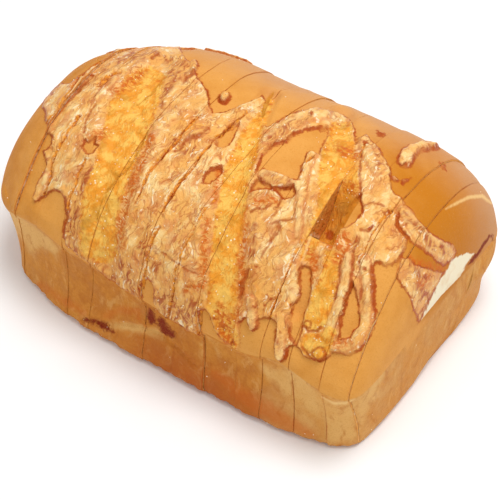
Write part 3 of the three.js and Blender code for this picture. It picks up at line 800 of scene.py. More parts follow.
def covering(points, facing, x, y, z):
    """What covers each place of a slice: depths in pixels of the photograph, or shares."""
    straight = to_photo(points)
    place = frayed(points, *straight)
    seen = smoothstep(facing, *SEEN)

    def where_seen(depth, otherwise=-FAR):
        return lerp(otherwise, depth, seen)

    melt = np.maximum(area_depth(CHEESE, *place), areas_depth(MORE_CHEESE, *place))
    melt = np.minimum(melt, -areas_depth(BARE, *place))
    melt = where_seen(melt, hidden_cheese(points, x, z))
    cover = {name: where_seen(lines_depth(runs, *place)) for name, runs in STROKES.items()}
    cover["seam"] = np.maximum(cover["seam"], where_seen(rings_depth(RINGS, *place)))
    cover["blister"] = where_seen(dots_depth(RINGS, *place))
    cover["melt"] = np.maximum(melt, cover["blister"])
    cover["gold"] = where_seen(areas_depth(GOLDEN, *place))
    cover["hole"] = where_seen(dots_depth(HOLES, *place))
    cover["torn"] = where_seen(area_depth(BROKEN, *place))
    cover["ribbon"] = where_seen(lines_depth(PALE_EDGES_AND_HIGHLIGHTS, *straight))
    # pale places of the side, some of them painted light
    pale = smoothstep(areas_depth(PALE_AND_LIT, *place), -5, 4) * seen
    cover.update(baking(x, y, z, pale, seen))
    return cover


def baking(x, y, z, pale, seen):
    """How brown or pale the crust and the side are, as shares, part of which is painted light and
    shade.
    """
    side_pale_and_lit, left, right = (np.interp(x, *zip(*run))
                              for run in (SIDE_PALE_AND_LIT, BROWN_AND_SHADE_LEFT, BROWN_AND_SHADE_RIGHT))
    foot = bell(x - DARK_FOOT["x"], DARK_FOOT["reach"])
    foot = foot * smoothstep(z, DARK_FOOT["from"], DARK_FOOT["to"])
    return {
        "side": smoothstep(z, RIM_HEIGHT + 1.5, RIM_HEIGHT - 1.5),
        # the side's pale share, part of it painted light
        "pale": lerp(lerp(BACK_PALE, side_pale_and_lit, seen), TRACED_PALE, pale),
        # dome browner towards the ends, in part painted shade where they slope from the light
        "bake_and_shade": left + right * smoothstep(y, -35, 5),
        "dull": smoothstep(y, 15, 50) * lerp(BACK_DULL, 1, seen),
        "dark": foot * (y < 0) * (1 - pale),
    }


# How far the cheese's own forms stand out or sink, in millimetres.
LUMPS = ((15, 0.45, 25), (5, 0.15, 26))           # width and height of the waves, and a seed
RELIEF = {"bead": 0.4, "pleats": 0.3, "bubbles": 0.28, "blister": 0.5, "lip": 0.2}
# What sinks the surface: its field, its depth, and the pixels inside it over which it deepens.
SUNK = (("hole", 0.4, -1.5, 2), ("seam", 0.4, -1, 1.5), ("slit", 1.4, -1, 1.5), ("torn", 0.5, -1, 2),
        ("crease", 0.7, -2, 1.5), ("tear", 1.1, -0.6, 1), ("crack", 0.9, -0.8, 1))


def layer_relief(points, cover):
    """How far the crust's coating stands out, in millimetres along the section's normal."""
    melt, gold = smoothstep(cover["melt"], -1, 2), smoothstep(cover["gold"], -2, 3)
    bent = points + 2.5 * np.stack([noise(points, 8, seed) for seed in (41, 42, 43)], axis=-1)
    pleats = noise(bent * (1, 0.4, 0.45), 2.6, 21) + 0.6 * noise(bent * (1, 0.4, 0.5), 1.3, 22)
    bubbles = noise(points, 3.2, 23) + 0.7 * noise(points, 1.5, 24)
    lumps = sum(size * noise(points, width, seed) for width, size, seed in LUMPS)
    shares = {
        "bead": bell(cover["melt"] - 3, 2.2) * melt,
        "pleats": pleats * melt * (1 - gold),
        "bubbles": bubbles * gold,
        "blister": smoothstep(cover["blister"], -1, 3),
        "lip": bell(cover["tear"] + 2.2, 1.2) * melt,
    }
    rise = sum(RELIEF[form] * share for form, share in shares.items())
    rise = rise + lumps * (1 - 0.65 * cover["side"])
    sunk = sum(depth * smoothstep(cover[field], low, high) for field, depth, low, high in SUNK)
    return np.maximum(melt, gold), smoothstep(cover["strand"], -1.2, 4), rise - sunk


# ---- one slice ----------------------------------------------------------------------------

CAP_INSETS = (0.5, 1.2, 2.4, 4.5, 8, 13, 20)      # millimetres under the crust
LOWER_TOPS = {1: 1.0, 2: 0.7}                     # slices whose tops lie lower, in millimetres
HEELS = (0, SLICES - 1)
HEEL_STEP, HEEL_DENSITY = 1.25, 0.85              # a heel's points stand a little further apart
HEEL_TIP = 0.99995                                # share of the length at a heel's last section
STEP_REACH = 4                                    # millimetres over which a slice's edge rises
DOME_FADE = 7                                     # millimetres over which the dome's forms begin
BRIDGED = 0.25                                    # share of a groove that is left under cheese
FOOT_WAVES = {"size": 2.2, "height": 0.5, "at": 1.5, "reach": 3}
RAGGED = {"size": 2.5, "share": 0.7}


def heel_run(inner, sign, step):
    """Places along a heel, even along its rounded end and not along X."""
    length = RIGHT_LENGTH if sign > 0 else LEFT_LENGTH
    fine = 1 - np.linspace(0, 1, 4001)[::-1] ** 3 * (1 - inner / length)
    u = np.clip(fine, 0, HEEL_TIP)
    across, up = rim_y(sign * u, -1), dome_height(sign * u, np.zeros_like(u))
    run = np.hypot(np.hypot(np.diff(u * length), np.diff(across)), np.diff(up))
    travelled = np.concatenate([[0], np.cumsum(run)])
    count = round(travelled[-1] / (HEEL_STEP * step))
    return length * np.interp(np.linspace(0, travelled[-1], count), travelled, u)


def stations(index, sizes):
    """Places of a slice's sections, and how far each is drawn in at a cut's groove."""
    half_gap = sizes.seen_gap / METRE / 2
    step = sizes.step / METRE
    groove = sizes.groove / METRE
    quarter = np.linspace(0, np.pi / 2, 4)
    edge_x, edge_in = groove * (1 - np.cos(quarter)), groove * (1 - np.sin(quarter))
    if index in HEELS:
        sign = 1 if index else -1
        inner = abs(CUT_AT[max(index - 1, 0)]) + half_gap
        body = heel_run(inner, sign, step)
        body = body[body - inner > 1.5 * groove]
        at, drawn = np.concatenate([inner + edge_x, body]), np.concatenate([edge_in, 0 * body])
        return (at, drawn) if sign > 0 else (-at[::-1], drawn[::-1])
    low, high = CUT_AT[index - 1] + half_gap, CUT_AT[index] - half_gap
    body = np.linspace(low + groove, high - groove, round((high - low) / step))[1:-1]
    return np.concatenate([low + edge_x, body, high - edge_x[::-1]]), \
        np.concatenate([edge_in, 0 * body, edge_in[::-1]])


def grid_normals(points):
    """Directions out of a slice at the points of its sections."""
    around = np.roll(points, -1, axis=1) - np.roll(points, 1, axis=1)
    along = np.gradient(points, axis=0)
    normal = np.cross(along, around)
    return normal / (np.linalg.norm(normal, axis=-1, keepdims=True) + 1e-12)


def coated_slice(index, sizes):
    """Points of a slice's crust with its relief, in millimetres, and what covers them."""
    x_at, drawn_in = stations(index, sizes)
    y, z = sections(x_at, HEEL_DENSITY if index in HEELS else 1.0)
    x = np.broadcast_to(x_at[:, None], y.shape)
    normal = grid_normals(np.stack([x, y, z], axis=-1))
    fades_in = smoothstep(z, RIM_HEIGHT, RIM_HEIGHT + DOME_FADE)
    slash = slash_drop(x, y) * fades_in
    gape = gape_drop(x, y, index) * (z > RIM_HEIGHT)
    bare_height = -SLASH_DEPTH * slash - LOWER_TOPS.get(index, 0) * fades_in
    seat = placed(x, y + normal[..., 1] * bare_height, z + normal[..., 2] * bare_height - gape, index)
    facing = grid_normals(placed(x, y, z, index)) @ camera_axes()[2]
    cover = covering(seat, facing, x, y, z)
    coated, strand, rise = layer_relief(seat, cover)
    rise = rise + coated * sizes.cheese / METRE + strand * sizes.strand / METRE * coated
    foot = bell(z - FOOT_WAVES["at"], FOOT_WAVES["reach"]) * FOOT_WAVES["height"]
    foot = noise(seat, FOOT_WAVES["size"], 31) * foot
    ragged = 1 + RAGGED["share"] * noise(seat * (0.2, 1, 1), RAGGED["size"], 32)
    bridged = coated * smoothstep(cover["tear"], -1, -4)
    opened = lerp(1, BRIDGED, bridged) * cut_opening(index, x, z)
    rise = rise + cut_step(index, x) * fades_in
    height = bare_height + np.where(z > 0.01, rise + foot, 0) - drawn_in[:, None] * ragged * opened
    points = placed(x, y + normal[..., 1] * height, z + normal[..., 2] * height - gape, index)
    points[..., 2] = np.maximum(points[..., 2], 0)
    cover["cut"] = cut_distance(index, x_at[:, None], z)
    cover["skin"] = np.zeros(y.shape)
    beside_gape = gape_drop(x, y, GAPE["slice"]) * (np.abs(index - GAPE["slice"]) < 2)
    cover["gape"] = smoothstep(beside_gape, 0.5, 4)
    cover["sunk"] = smoothstep(gape, 0.5, 6)
    cover["litter"] = litter(cover, z)
    return points, cover


def own_cuts(index):
    """The cuts on a slice's sides; a heel has one."""
    return range(max(0, index - 1), min(SLICES - 1, index + 1))


def cut_step(index, x):
    """How far a slice stands out towards its cuts, so that its neighbours lie lower or higher."""
    return sum((0.5 if cut == index else -0.5) * CUT_STEP[cut] * bell(x - CUT_AT[cut], STEP_REACH)
               for cut in own_cuts(index))


def cut_shows(cut, z):
    """How clearly a cut shows at a height, as a share."""
    wall = smoothstep(z, RIM_HEIGHT, RIM_HEIGHT - 3)
    return lerp(CUT_SHOWS["dome"][cut], CUT_SHOWS["wall"][cut], wall)


def cut_opening(index, x, z):
    """How widely the nearer cut opens at its edge, as a share."""
    away = [np.abs(x - CUT_AT[cut]) for cut in own_cuts(index)]
    shows = [cut_shows(cut, z) for cut in own_cuts(index)]
    return np.where(away[0] < away[-1], shows[0], shows[-1])


def cut_distance(index, x, z):
    """Distance to the nearer cut, and more where that cut hardly shows."""
    return np.minimum.reduce([np.abs(x - CUT_AT[cut]) + 0.6 * (1 - cut_shows(cut, z))
                              for cut in own_cuts(index)])


def litter(cover, z):
    """Where loose crumbs lie, as a share."""
    on_gold = smoothstep(cover["gold"], -1, 3)
    on_melt = 0.3 * smoothstep(cover["melt"], -1, 2)
    at_foot = 0.5 * bell(z - 4, 4)
    return np.clip(0.05 + on_gold + on_melt + at_foot, 0, 1) * (z > 0.5)


def cap_rings(ring):
    """Rings that close a cut face, each a little further under the crust."""
    middle = ring.mean(axis=0)
    away = ring - middle
    reach = np.linalg.norm(away, axis=1, keepdims=True)
    return [middle + away * (1 - inset / reach) for inset in CAP_INSETS]


def slice_mesh(name, index, sizes):
    """One slice: its crust, closed by cut faces, or by a small face at a heel's tip."""
    crust, cover = coated_slice(index, sizes)
    count, around = crust.shape[:2]
    caps = [(0, 1)] if index else []
    caps += [(count - 1, -1)] if index < SLICES - 1 else []
    points = [crust.reshape(-1, 3)]
    values = {key: [field.ravel()] for key, field in cover.items()}
    grid = np.arange(count * around).reshape(count, around)
    quads = [join_rings(grid)]
    tips = {0: [grid[0]], SLICES - 1: [grid[-1][::-1]]}.get(index, [])
    polygons = list(tips)
    total = count * around
    for row, turn in caps:
        ids = [grid[row]]
        for inset, ring in zip(CAP_INSETS, cap_rings(crust[row])):
            points.append(ring)
            for key, field in cover.items():
                values[key].append(np.full(around, inset) if key == "skin" else field[row])
            ids.append(np.arange(total, total + around))
            total += around
        ids = np.array(ids)
        quads.append(join_rings(ids[::-1] if turn > 0 else ids))
        polygons.append(ids[-1] if turn > 0 else ids[-1][::-1])
    mesh = mesh_of(name, np.concatenate(points), np.concatenate(quads), polygons)
    material = np.ones(len(mesh.polygons), np.int32)
    material[:len(quads[0])] = 0
    material[sum(map(len, quads)):][:len(tips)] = 0
    mesh.polygons.foreach_set("material_index", material)
    mesh.polygons.foreach_set("use_smooth", material == 0)
    for key, parts in values.items():
        mesh.attributes.new(key, "FLOAT", "POINT").data.foreach_set(
            "value", np.concatenate(parts).astype(np.float32))
    return mesh


def join_rings(ids):
    """Quads between rings of points that follow each other."""
    a, b = ids[:-1], np.roll(ids[:-1], -1, axis=1)
    c, d = np.roll(ids[1:], -1, axis=1), ids[1:]
    return np.stack([a, d, c, b], axis=-1).reshape(-1, 4)


def mesh_of(name, points, quads, polygons):
    """A mesh of points in millimetres, its quads first and then its larger faces."""
    mesh = bpy.data.meshes.new(name)
    loops = np.concatenate([quads.ravel(), *polygons]).astype(np.int32)
    corners = np.concatenate([np.full(len(quads), 4), [len(p) for p in polygons]]).astype(np.int32)
    starts = np.concatenate([[0], np.cumsum(corners)[:-1]]).astype(np.int32)
    mesh.vertices.add(len(points))
    mesh.vertices.foreach_set("co", (points * METRE).astype(np.float32).ravel())
    mesh.loops.add(len(loops))
    mesh.loops.foreach_set("vertex_index", loops)
    mesh.polygons.add(len(corners))
    mesh.polygons.foreach_set("loop_start", starts)
    mesh.polygons.foreach_set("loop_total", corners)
    mesh.update(calc_edges=True)
    if mesh.validate():
        raise RuntimeError(f"{name}: its faces don't fit together")
    return mesh


# ---- finishes -------------------------------------------------------------------------------

def add_node(tree, kind, inputs=(), **settings):
    """A new node with its settings made, and its inputs linked or set."""
    node = tree.nodes.new(kind)
    for key, value in settings.items():
        setattr(node, key, value)
    for key, value in dict(inputs).items():
        feed(tree, node.inputs[key], value)
    return node


def feed(tree, socket, value):
    if isinstance(value, bpy.types.NodeSocket):
        tree.links.new(value, socket)
    else:
        socket.default_value = value


class Finish:
    """A material that is built up node by node, its patterns sized in millimetres."""

    def __init__(self, name):
        self.material = bpy.data.materials.new(name)
        self.material.use_nodes = True
        self.tree = self.material.node_tree
        self.shader = self.tree.nodes["Principled BSDF"]
        self.place = self.add("ShaderNodeTexCoord").outputs["Object"]
        self.bent = self.bend(9, 5)

    def add(self, kind, inputs=(), **settings):
        return add_node(self.tree, kind, inputs, **settings)

    def set(self, name, value):
        feed(self.tree, self.shader.inputs[name], value)

    def field(self, name):
        """One of the slices' fields, as covering and coated_slice name them."""
        return self.add("ShaderNodeAttribute", attribute_name=name).outputs["Fac"]

    def math(self, operation, *values):
        return self.add("ShaderNodeMath", enumerate(values), operation=operation).outputs[0]

    def sum(self, first, *others):
        for other in others:
            first = self.math("ADD", first, other)
        return first

    def times(self, a, b):
        return self.math("MULTIPLY", a, b)

    def most(self, a, b):
        return self.math("MAXIMUM", a, b)

    def size_of(self, a):
        return self.math("ABSOLUTE", a)

    def step(self, value, low, high, start=0.0, end=1.0):
        """A share that goes from start to end as value goes from low to high."""
        inputs = {"Value": value, "From Min": low, "From Max": high, "To Min": start, "To Max": end}
        node = self.add("ShaderNodeMapRange", inputs, interpolation_type="SMOOTHSTEP")
        return node.outputs["Result"]

    def mix(self, share, a, b):
        inputs = {0: share, 6: a if isinstance(a, bpy.types.NodeSocket) else (*a, 1),
                  7: b if isinstance(b, bpy.types.NodeSocket) else (*b, 1)}
        return self.add("ShaderNodeMix", inputs, data_type="RGBA").outputs[2]

    def over(self, base, *layers):
        """A colour with others laid over it, each by its share."""
        for share, colour in layers:
            base = self.mix(share, base, colour)
        return base

    def bend(self, size, reach):
        """Places moved about by up to reach, in waves as wide as size."""
        inputs = {"Vector": self.scaled(self.place, size, (1, 1, 1)), "Scale": 1.0, "Detail": 2.0}
        waves = self.add("ShaderNodeTexNoise", inputs).outputs["Color"]
        centred = self.add("ShaderNodeVectorMath", {0: waves, 1: (0.5, 0.5, 0.5)},
                           operation="SUBTRACT").outputs[0]
        moved = self.add("ShaderNodeVectorMath", {0: centred, "Scale": 2 * reach * METRE},
                         operation="SCALE").outputs[0]
        return self.add("ShaderNodeVectorMath", {0: self.place, 1: moved}, operation="ADD").outputs[0]

    def scaled(self, place, size, stretch):
        scale = [1 / (METRE * size * s) for s in stretch]
        return self.add("ShaderNodeMapping", {"Vector": place, "Scale": scale}).outputs[0]

    def grain(self, size, detail=3.0, stretch=(1, 1, 1), bent=False):
        """Noise about 0, whose lumps are as wide as size."""
        place = self.bent if bent else self.place
        inputs = {"Vector": self.scaled(place, size, stretch), "Scale": 1.0, "Detail": detail,
                  "Roughness": 0.55}
        raw = self.add("ShaderNodeTexNoise", inputs).outputs["Fac"]
        return self.sum(raw, -0.5)

    def veins(self, size, width, stretch=(1, 1, 1)):
        """Thin winding lines, as a share."""
        return self.step(self.size_of(self.grain(size, 3, stretch, bent=True)), width, 0.0)

    def dots(self, spacing, stretch=(1, 1, 1)):
        """Distance to the nearest of scattered dots, as a share of their spacing."""
        inputs = {"Vector": self.scaled(self.place, spacing, stretch), "Scale": 1.0}
        return self.add("ShaderNodeTexVoronoi", inputs).outputs["Distance"]

    def bump(self, height, distance):
        inputs = {"Height": height, "Distance": distance * METRE, "Strength": 1.0}
        return self.add("ShaderNodeBump", inputs).outputs[0]


class CrustFinish(Finish):
    """The loaf's outside, each finish where its field says.

    A depth is compared with a few pixels, and a grain lies between about -0.3 and 0.3.
    """

    def __init__(self, colours):
        super().__init__("baked_crust")
        self.colours = colours
        self.broad, self.patch, self.fine = self.grain(26, 2), self.grain(7, 3), self.grain(1.7, 4)
        self.speck = self.grain(0.55, 2)
        self.thread = self.grain(0.9, 3, (1, 4, 3.5), bent=True)
        self.pleat = self.grain(2.4, 3, (1, 2.6, 2.4), bent=True)
        self.hatch = self.grain(0.9, 2, (3.5, 1, 1), bent=True)
        self.ragged = self.sum(self.times(self.fine, 5.0), self.times(self.speck, 1.6))
        self.blotch = self.sum(self.times(self.patch, 9.0), self.times(self.fine, 6.0))
        self.melt_depth = self.sum(self.field("melt"), self.ragged)
        self.melted = self.step(self.melt_depth, -0.8, 1.0)
        gold_depth = self.sum(
            self.field("gold"), self.times(self.blotch, 0.5), self.times(self.hatch, 6))
        self.golden = self.step(gold_depth, -1.6, 1.8)
        self.coated = self.most(self.melted, self.golden)

    def near(self, name, frays, by, low, high, most=1.0):
        """How far a place lies in a field whose edge frays by a grain, as a share."""
        return self.step(self.sum(self.field(name), self.times(frays, by)), low, high, 0, most)

    def bare(self):
        """Bare crust on the dome, browner towards its ends, in part as painted shade where they slope
        from the light.
        """
        c, broad, speck = self.colours, self.broad, self.speck
        # the browning share, in part painted shade
        baked = self.sum(self.field("bake_and_shade"), self.sum(broad, self.times(self.patch, 0.7)))
        return self.over(
            self.mix(self.step(baked, -0.1, 1.0), c.crust, c.crust_deep),
            (self.step(speck, 0.04, 0.24, 0, 0.4), c.crust_deep),
            (self.step(speck, -0.1, -0.28, 0, 0.3), c.wall_pale),
            (self.times(self.field("dull"), self.step(broad, -0.3, 0.1, 0.4, 0.9)), c.crust_dull),
        )

    def wall(self):
        """Pan-baked side, paler where its pale field says, in part as painted light."""
        c = self.colours
        uneven = self.sum(self.broad, self.patch, self.times(self.fine, 0.5))
        streak = self.grain(3.5, 4, (1, 1, 3.5), bent=True)
        return self.over(
            self.mix(self.step(uneven, -0.25, 0.3), c.wall, c.wall_deep),
            (self.near("pale", self.sum(self.patch, self.broad), 0.9, 0.0, 1.0), c.wall_pale),
            (self.step(streak, 0.02, 0.22, 0, 0.5), c.wall_pale),
            (self.step(streak, -0.02, -0.22, 0, 0.5), c.wall_deep),
            (self.times(self.field("dark"), 0.6), c.melt_brown),
            (self.step(self.speck, 0.0, 0.25, 0, 0.4), c.wall_deep),
            (self.near("darkened", self.blotch, 1, -3, 6, 0.45), c.toast),
        )

    def melt(self):
        """Melted cheese: thin and veined, paler on its strands, browned where it scorched, with painted
        highlight on its ridges.
        """
        c, fine, pleat, thread = self.colours, self.fine, self.pleat, self.thread
        thick = self.step(self.sum(self.patch, self.times(pleat, 0.6)), -0.1, 0.14)
        veined = self.step(self.grain(11, 2), -0.14, 0.1, 0.2, 0.95)
        veins = self.times(self.veins(4.4, 0.04, (1, 2.6, 2.4)), 0.65)
        on_strand = self.times(
            self.near("strand", fine, 3, -0.5, 4), self.step(pleat, -0.15, 0.15, 0.1, 0.6))
        from_edge = self.size_of(self.sum(self.field("strand"), self.times(fine, 4)))
        frayed = self.mix(self.step(self.sum(pleat, thread), -0.16, 0.2), c.melt, c.melt_brown)
        # ridge: where a painted highlight lies on the cheese's ridges
        ridge = self.sum(self.grain(1.4, 3, (1, 2.4, 2.2), bent=True), self.times(self.patch, 0.3))
        return self.over(
            self.mix(thick, c.melt, c.melt_pale),
            (self.step(self.grain(14, 3), 0.02, 0.17, 0, 0.55), c.gold),
            (self.step(self.grain(5, 4, (1, 1.8, 1.6), bent=True), -0.02, 0.16, 0, 0.6), c.melt_vein),
            (self.times(veined, veins), c.melt_brown),
            (self.times(veined, self.step(thread, 0.04, 0.2, 0, 0.55)), c.melt_vein),
            (on_strand, c.melt_pale),
            (self.step(from_edge, 2.2, 0.2, 0, 0.6), c.melt_vein),
            (self.times(self.near("scorch", self.blotch, 1, -3.5, 5), 0.9), frayed),
            (self.step(ridge, 0.1, 0.2, 0, 0.8), c.painted_highlight),
        )

    def gold(self):
        """Golden cheese in the slashes, with bright flecks of painted highlight."""
        c = self.colours
        cloudy = self.sum(self.grain(5, 4), self.times(self.thread, 0.6))
        burnished = self.sum(self.step(self.field("gold"), 9, 0, 0.0, 0.14), self.grain(2.6, 4))
        # flecks of painted highlight, where the glossy cheese would glint
        highlight_fleck = self.times(self.step(self.dots(1.8), 0.26, 0.12), self.step(self.patch, 0.0, 0.12))
        return self.over(
            self.mix(self.step(cloudy, -0.14, 0.14), c.gold, c.gold_pale),
            (self.step(self.grain(9, 3), 0.04, 0.2, 0, 0.7), c.gold_olive),
            (self.step(burnished, 0.1, 0.3, 0, 0.75), c.toast),
            (highlight_fleck, c.painted_highlight),
        )

    def edged(self, colour):
        """Adds fried cheese, dark rims and seams, and the tears with their pale lips, which are painted
        highlight.
        """
        c, fine, patch = self.colours, self.fine, self.patch
        fried = self.step(self.sum(self.hatch, fine), -0.14, 0.12, 0.2, 0.95)
        rim = self.step(self.size_of(self.sum(self.melt_depth, -0.4)), 2.2, 0.3, 0, 0.92)
        rim = self.times(rim, self.step(self.field("gold"), 1, -2))
        tear_depth = self.sum(
            self.field("tear"), self.sum(self.times(fine, 5), self.times(self.speck, 2)))
        # the tears' lips get a painted highlight
        lip = self.step(self.size_of(self.sum(tear_depth, 1.4)), 0.9, 0.2, 0, 0.6)
        lip = self.times(self.coated, self.times(lip, self.step(patch, 0.0, 0.1)))
        return self.over(
            colour,
            (self.times(self.near("toast", self.blotch, 0.9, -4, 4), fried), c.toast),
            (self.times(rim, self.step(patch, -0.2, 0.04, 0.35, 1)), c.line),
            (self.near("seam", fine, 4, -1.6, 0.8, 0.75), c.line),
            (lip, c.painted_highlight),
            (self.step(tear_depth, -0.8, 0.4, 0, 0.9),
             self.mix(self.step(fine, -0.1, 0.1), c.line, c.gold)),
        )

    def marked(self, colour):
        """Adds cracks, the gape, holes with painted shade in their pits, burnt spots, the slit's
        painted shade, pale edges that are part painted highlight, the torn seam, and painted shade
        along the cuts.
        """
        c, fine, patch = self.colours, self.fine, self.patch
        burnt = self.near("burnt", self.ragged, 1.6, -2.5, 2.5)
        # the slit's dark is painted shade in the gap between slices
        dark = self.most(burnt, self.step(self.field("slit"), -0.8, 0.8))
        # at_cut: painted shade along the cuts' gaps
        at_cut = self.times(
            self.near("cut", fine, 0.6, 0.45, 0.1), self.step(patch, -0.14, 0.1, 0.6, 0.15))
        return self.over(
            colour,
            (self.near("crack", fine, 2, -0.7, 0.6, 0.8), c.gold_olive),
            (self.near("sunk", fine, 1, 0.2, 0.7, 0.9),
             self.mix(self.near("sunk", patch, 1, 0.7, 1.2), c.gold, c.gold_olive)),
            # holes: browned spots, with painted shade in their pits
            (self.near("hole", self.ragged, 1.5, -1.6, 1.6, 0.85), c.line),
            (self.times(dark, self.step(self.speck, -0.1, 0.1, 0.85, 1.0)), c.burn_and_gap_shade),
            # pale edges at the cuts: part crumb, part painted highlight
            (self.near("ribbon", fine, 2, -1.4, 1.2, 0.65), c.melt_pale),
            (self.near("torn", fine, 3, -0.8, 0.8),
             self.mix(self.step(patch, 0.0, 0.2, 0, 0.3), c.crumb, c.wall_pale)),
            (at_cut, c.line),
        )


def crust_finish(colours):
    """Bare crust, pan-baked side, melted and golden cheese, each where its field says."""
    f = CrustFinish(colours)
    side = f.step(f.field("side"), 0.35, 0.65)
    baked = f.over(f.bare(), (side, f.wall()), (f.melted, f.melt()), (f.golden, f.gold()))
    f.set("Base Color", f.marked(f.edged(baked)))
    f.set("Roughness", f.step(f.sum(f.coated, f.times(f.fine, 1.2)), 0.1, 1.1, 0.6, 0.3))
    wrinkles = f.times(f.sum(f.pleat, f.thread), f.melted)
    grit = f.sum(f.times(f.speck, 0.25), f.times(f.fine, 0.35))
    f.set("Normal", f.bump(f.sum(wrinkles, grit), 0.8))
    f.set("Specular IOR Level", 0.12)
    return f.material


def crumb_finish(colours):
    """The open crumb of a cut face, browner towards its crust."""
    f = Finish("bread_crumb")
    pores = f.step(f.dots(1.6), 0.42, 0.2)
    large = f.step(f.dots(4.3), 0.3, 0.16)
    f.set("Base Color", f.over(
        f.mix(f.step(f.grain(3, 3), -0.15, 0.2), colours.crumb, colours.wall_pale),
        (f.times(f.most(pores, large), 0.5), colours.wall_pale),
        (f.step(f.sum(f.field("skin"), f.times(f.grain(2, 3), 2.5)), 2.2, 0.3), colours.crust),
        (f.times(f.field("gape"), f.step(f.field("skin"), 21, 12)),
         f.mix(f.step(f.grain(3, 3), -0.15, 0.15), colours.crust, colours.wall)),
    ))
    f.set("Roughness", 0.85)
    f.set("Specular IOR Level", 0.2)
    f.set("Normal", f.bump(f.most(pores, large), -0.5))
    return f.material


def fleck_finish(colours):
    """Loose crumbs, from pale to toasted."""
    f = Finish("loose_crumb")
    f.set("Base Color", f.mix(f.step(f.grain(2.3, 2), -0.02, 0.2), colours.crumb, colours.crust))
    f.set("Roughness", 0.7)
    f.set("Normal", f.bump(f.grain(0.3, 2), 0.1))
    return f.material


def floor_finish():
    f = Finish("pale_floor")
    base = f.mix(f.step(f.grain(60, 3), -0.3, 0.3), (0.95, 0.95, 0.95), (0.97, 0.97, 0.97))
    f.set("Base Color", base)
    f.set("Roughness", 0.9)
    return f.material


# ---- loose crumbs -----------------------------------------------------------------------------

CRUMB_FIELD = 0.018                 # square metres over which the crumbs are counted


def crumb_tree(finish):
    """Crumbs strewn over a collection of pieces, thick where their litter field says."""
    tree = bpy.data.node_groups.new("strewn_crumbs", "GeometryNodeTree")
    face = tree.interface
    for name, kind in (("Geometry", "Geometry"), ("Carrier", "Collection"), ("Density", "Float"),
                       ("Width", "Float")):
        face.new_socket(name, in_out="INPUT", socket_type="NodeSocket" + kind)
    face.new_socket("Geometry", in_out="OUTPUT", socket_type="NodeSocketGeometry")

    def add(kind, inputs=(), **settings):
        return add_node(tree, kind, inputs, **settings)

    given = add("NodeGroupInput").outputs
    carrier = add("GeometryNodeCollectionInfo", {"Collection": given["Carrier"]})
    real = add("GeometryNodeRealizeInstances", {0: carrier.outputs[0]})
    share = add("GeometryNodeInputNamedAttribute", {"Name": "litter"}, data_type="FLOAT")
    thick = add("ShaderNodeMath", {0: share.outputs["Attribute"], 1: given["Density"]},
                operation="MULTIPLY")
    strewn = add("GeometryNodeDistributePointsOnFaces",
                 {"Mesh": real.outputs[0], "Density": thick.outputs[0], "Seed": 7})
    shape = add("GeometryNodeMeshIcoSphere", {"Radius": 0.5, "Subdivisions": 1})
    turn = add("FunctionNodeRandomValue", {0: (0, 0, 0), 1: (6.28, 6.28, 6.28), "Seed": 3},
               data_type="FLOAT_VECTOR")
    grow = add("FunctionNodeRandomValue", {0: (0.45, 0.4, 0.3), 1: (1.4, 1.0, 0.8), "Seed": 5},
               data_type="FLOAT_VECTOR")
    width = add("ShaderNodeVectorMath", {0: grow.outputs[0], "Scale": given["Width"]},
                operation="SCALE")
    laid = add("GeometryNodeInstanceOnPoints",
               {"Points": strewn.outputs["Points"], "Instance": shape.outputs["Mesh"],
                "Rotation": turn.outputs[0], "Scale": width.outputs[0]})
    joined = add("GeometryNodeRealizeInstances", {0: laid.outputs[0]})
    painted = add("GeometryNodeSetMaterial", {0: joined.outputs[0], "Material": finish})
    add("NodeGroupOutput", {0: painted.outputs[0]})
    return tree


def set_input(modifier, name, value):
    """Sets a modifier's input, which is found by its name."""
    for item in modifier.node_group.interface.items_tree:
        if item.item_type == "SOCKET" and item.in_out == "INPUT" and item.name == name:
            modifier[item.identifier] = value
            return
    raise RuntimeError(f"no input is named {name}")


# ---- operators --------------------------------------------------------------------------------

class LOAF_OT_slices(bpy.types.Operator):
    """Build the slices of the loaf, each in the place of its solid"""

    bl_idname = "loaf.slices"
    bl_label = "Slices"

    def execute(self, context):
        sizes, colours = context.scene.loaf_sizes, context.scene.loaf_colours
        crust, crumb = crust_finish(colours), crumb_finish(colours)
        shelf = bpy.data.collections.new("slices")
        context.scene.collection.children.link(shelf)
        for index in range(SLICES):
            name = f"bread_slice_{index + 1:02d}"
            piece = bpy.data.objects.new(name, slice_mesh(name, index, sizes))
            shelf.objects.link(piece)
            piece.data.materials.append(crust)
            piece.data.materials.append(crumb)
            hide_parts(f"slice_{index + 1:02d}")
            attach(piece, "root")
        return {"FINISHED"}


class LOAF_OT_crumbs(bpy.types.Operator):
    """Strew loose crumbs over the slices"""

    bl_idname = "loaf.crumbs"
    bl_label = "Loose crumbs"

    def execute(self, context):
        sizes = context.scene.loaf_sizes
        finish = fleck_finish(context.scene.loaf_colours)
        piece = bpy.data.objects.new("loose_crumbs", bpy.data.meshes.new("loose_crumbs"))
        context.scene.collection.objects.link(piece)
        modifier = piece.modifiers.new("strewn", "NODES")
        modifier.node_group = crumb_tree(finish)
        set_input(modifier, "Carrier", bpy.data.collections["slices"])
        set_input(modifier, "Density", sizes.crumbs / CRUMB_FIELD)
        set_input(modifier, "Width", sizes.crumb)
        evaluated = piece.evaluated_get(context.evaluated_depsgraph_get())
        mesh = bpy.data.meshes.new_from_object(evaluated)
        if not len(mesh.polygons):
            raise RuntimeError("no crumbs were strewn")
        piece.modifiers.clear()
        piece.data = mesh
        mesh.name = "loose_crumbs"
        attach(piece, "root")
        return {"FINISHED"}


FLOOR_REACH = 3                     # metres
SKY_STRENGTH = 0.66
KEY_LIGHT = {"size": 0.6, "energy": 8.0, "at": (0.2, 0.15, 1.15)}
SENSOR = 36                         # millimetres


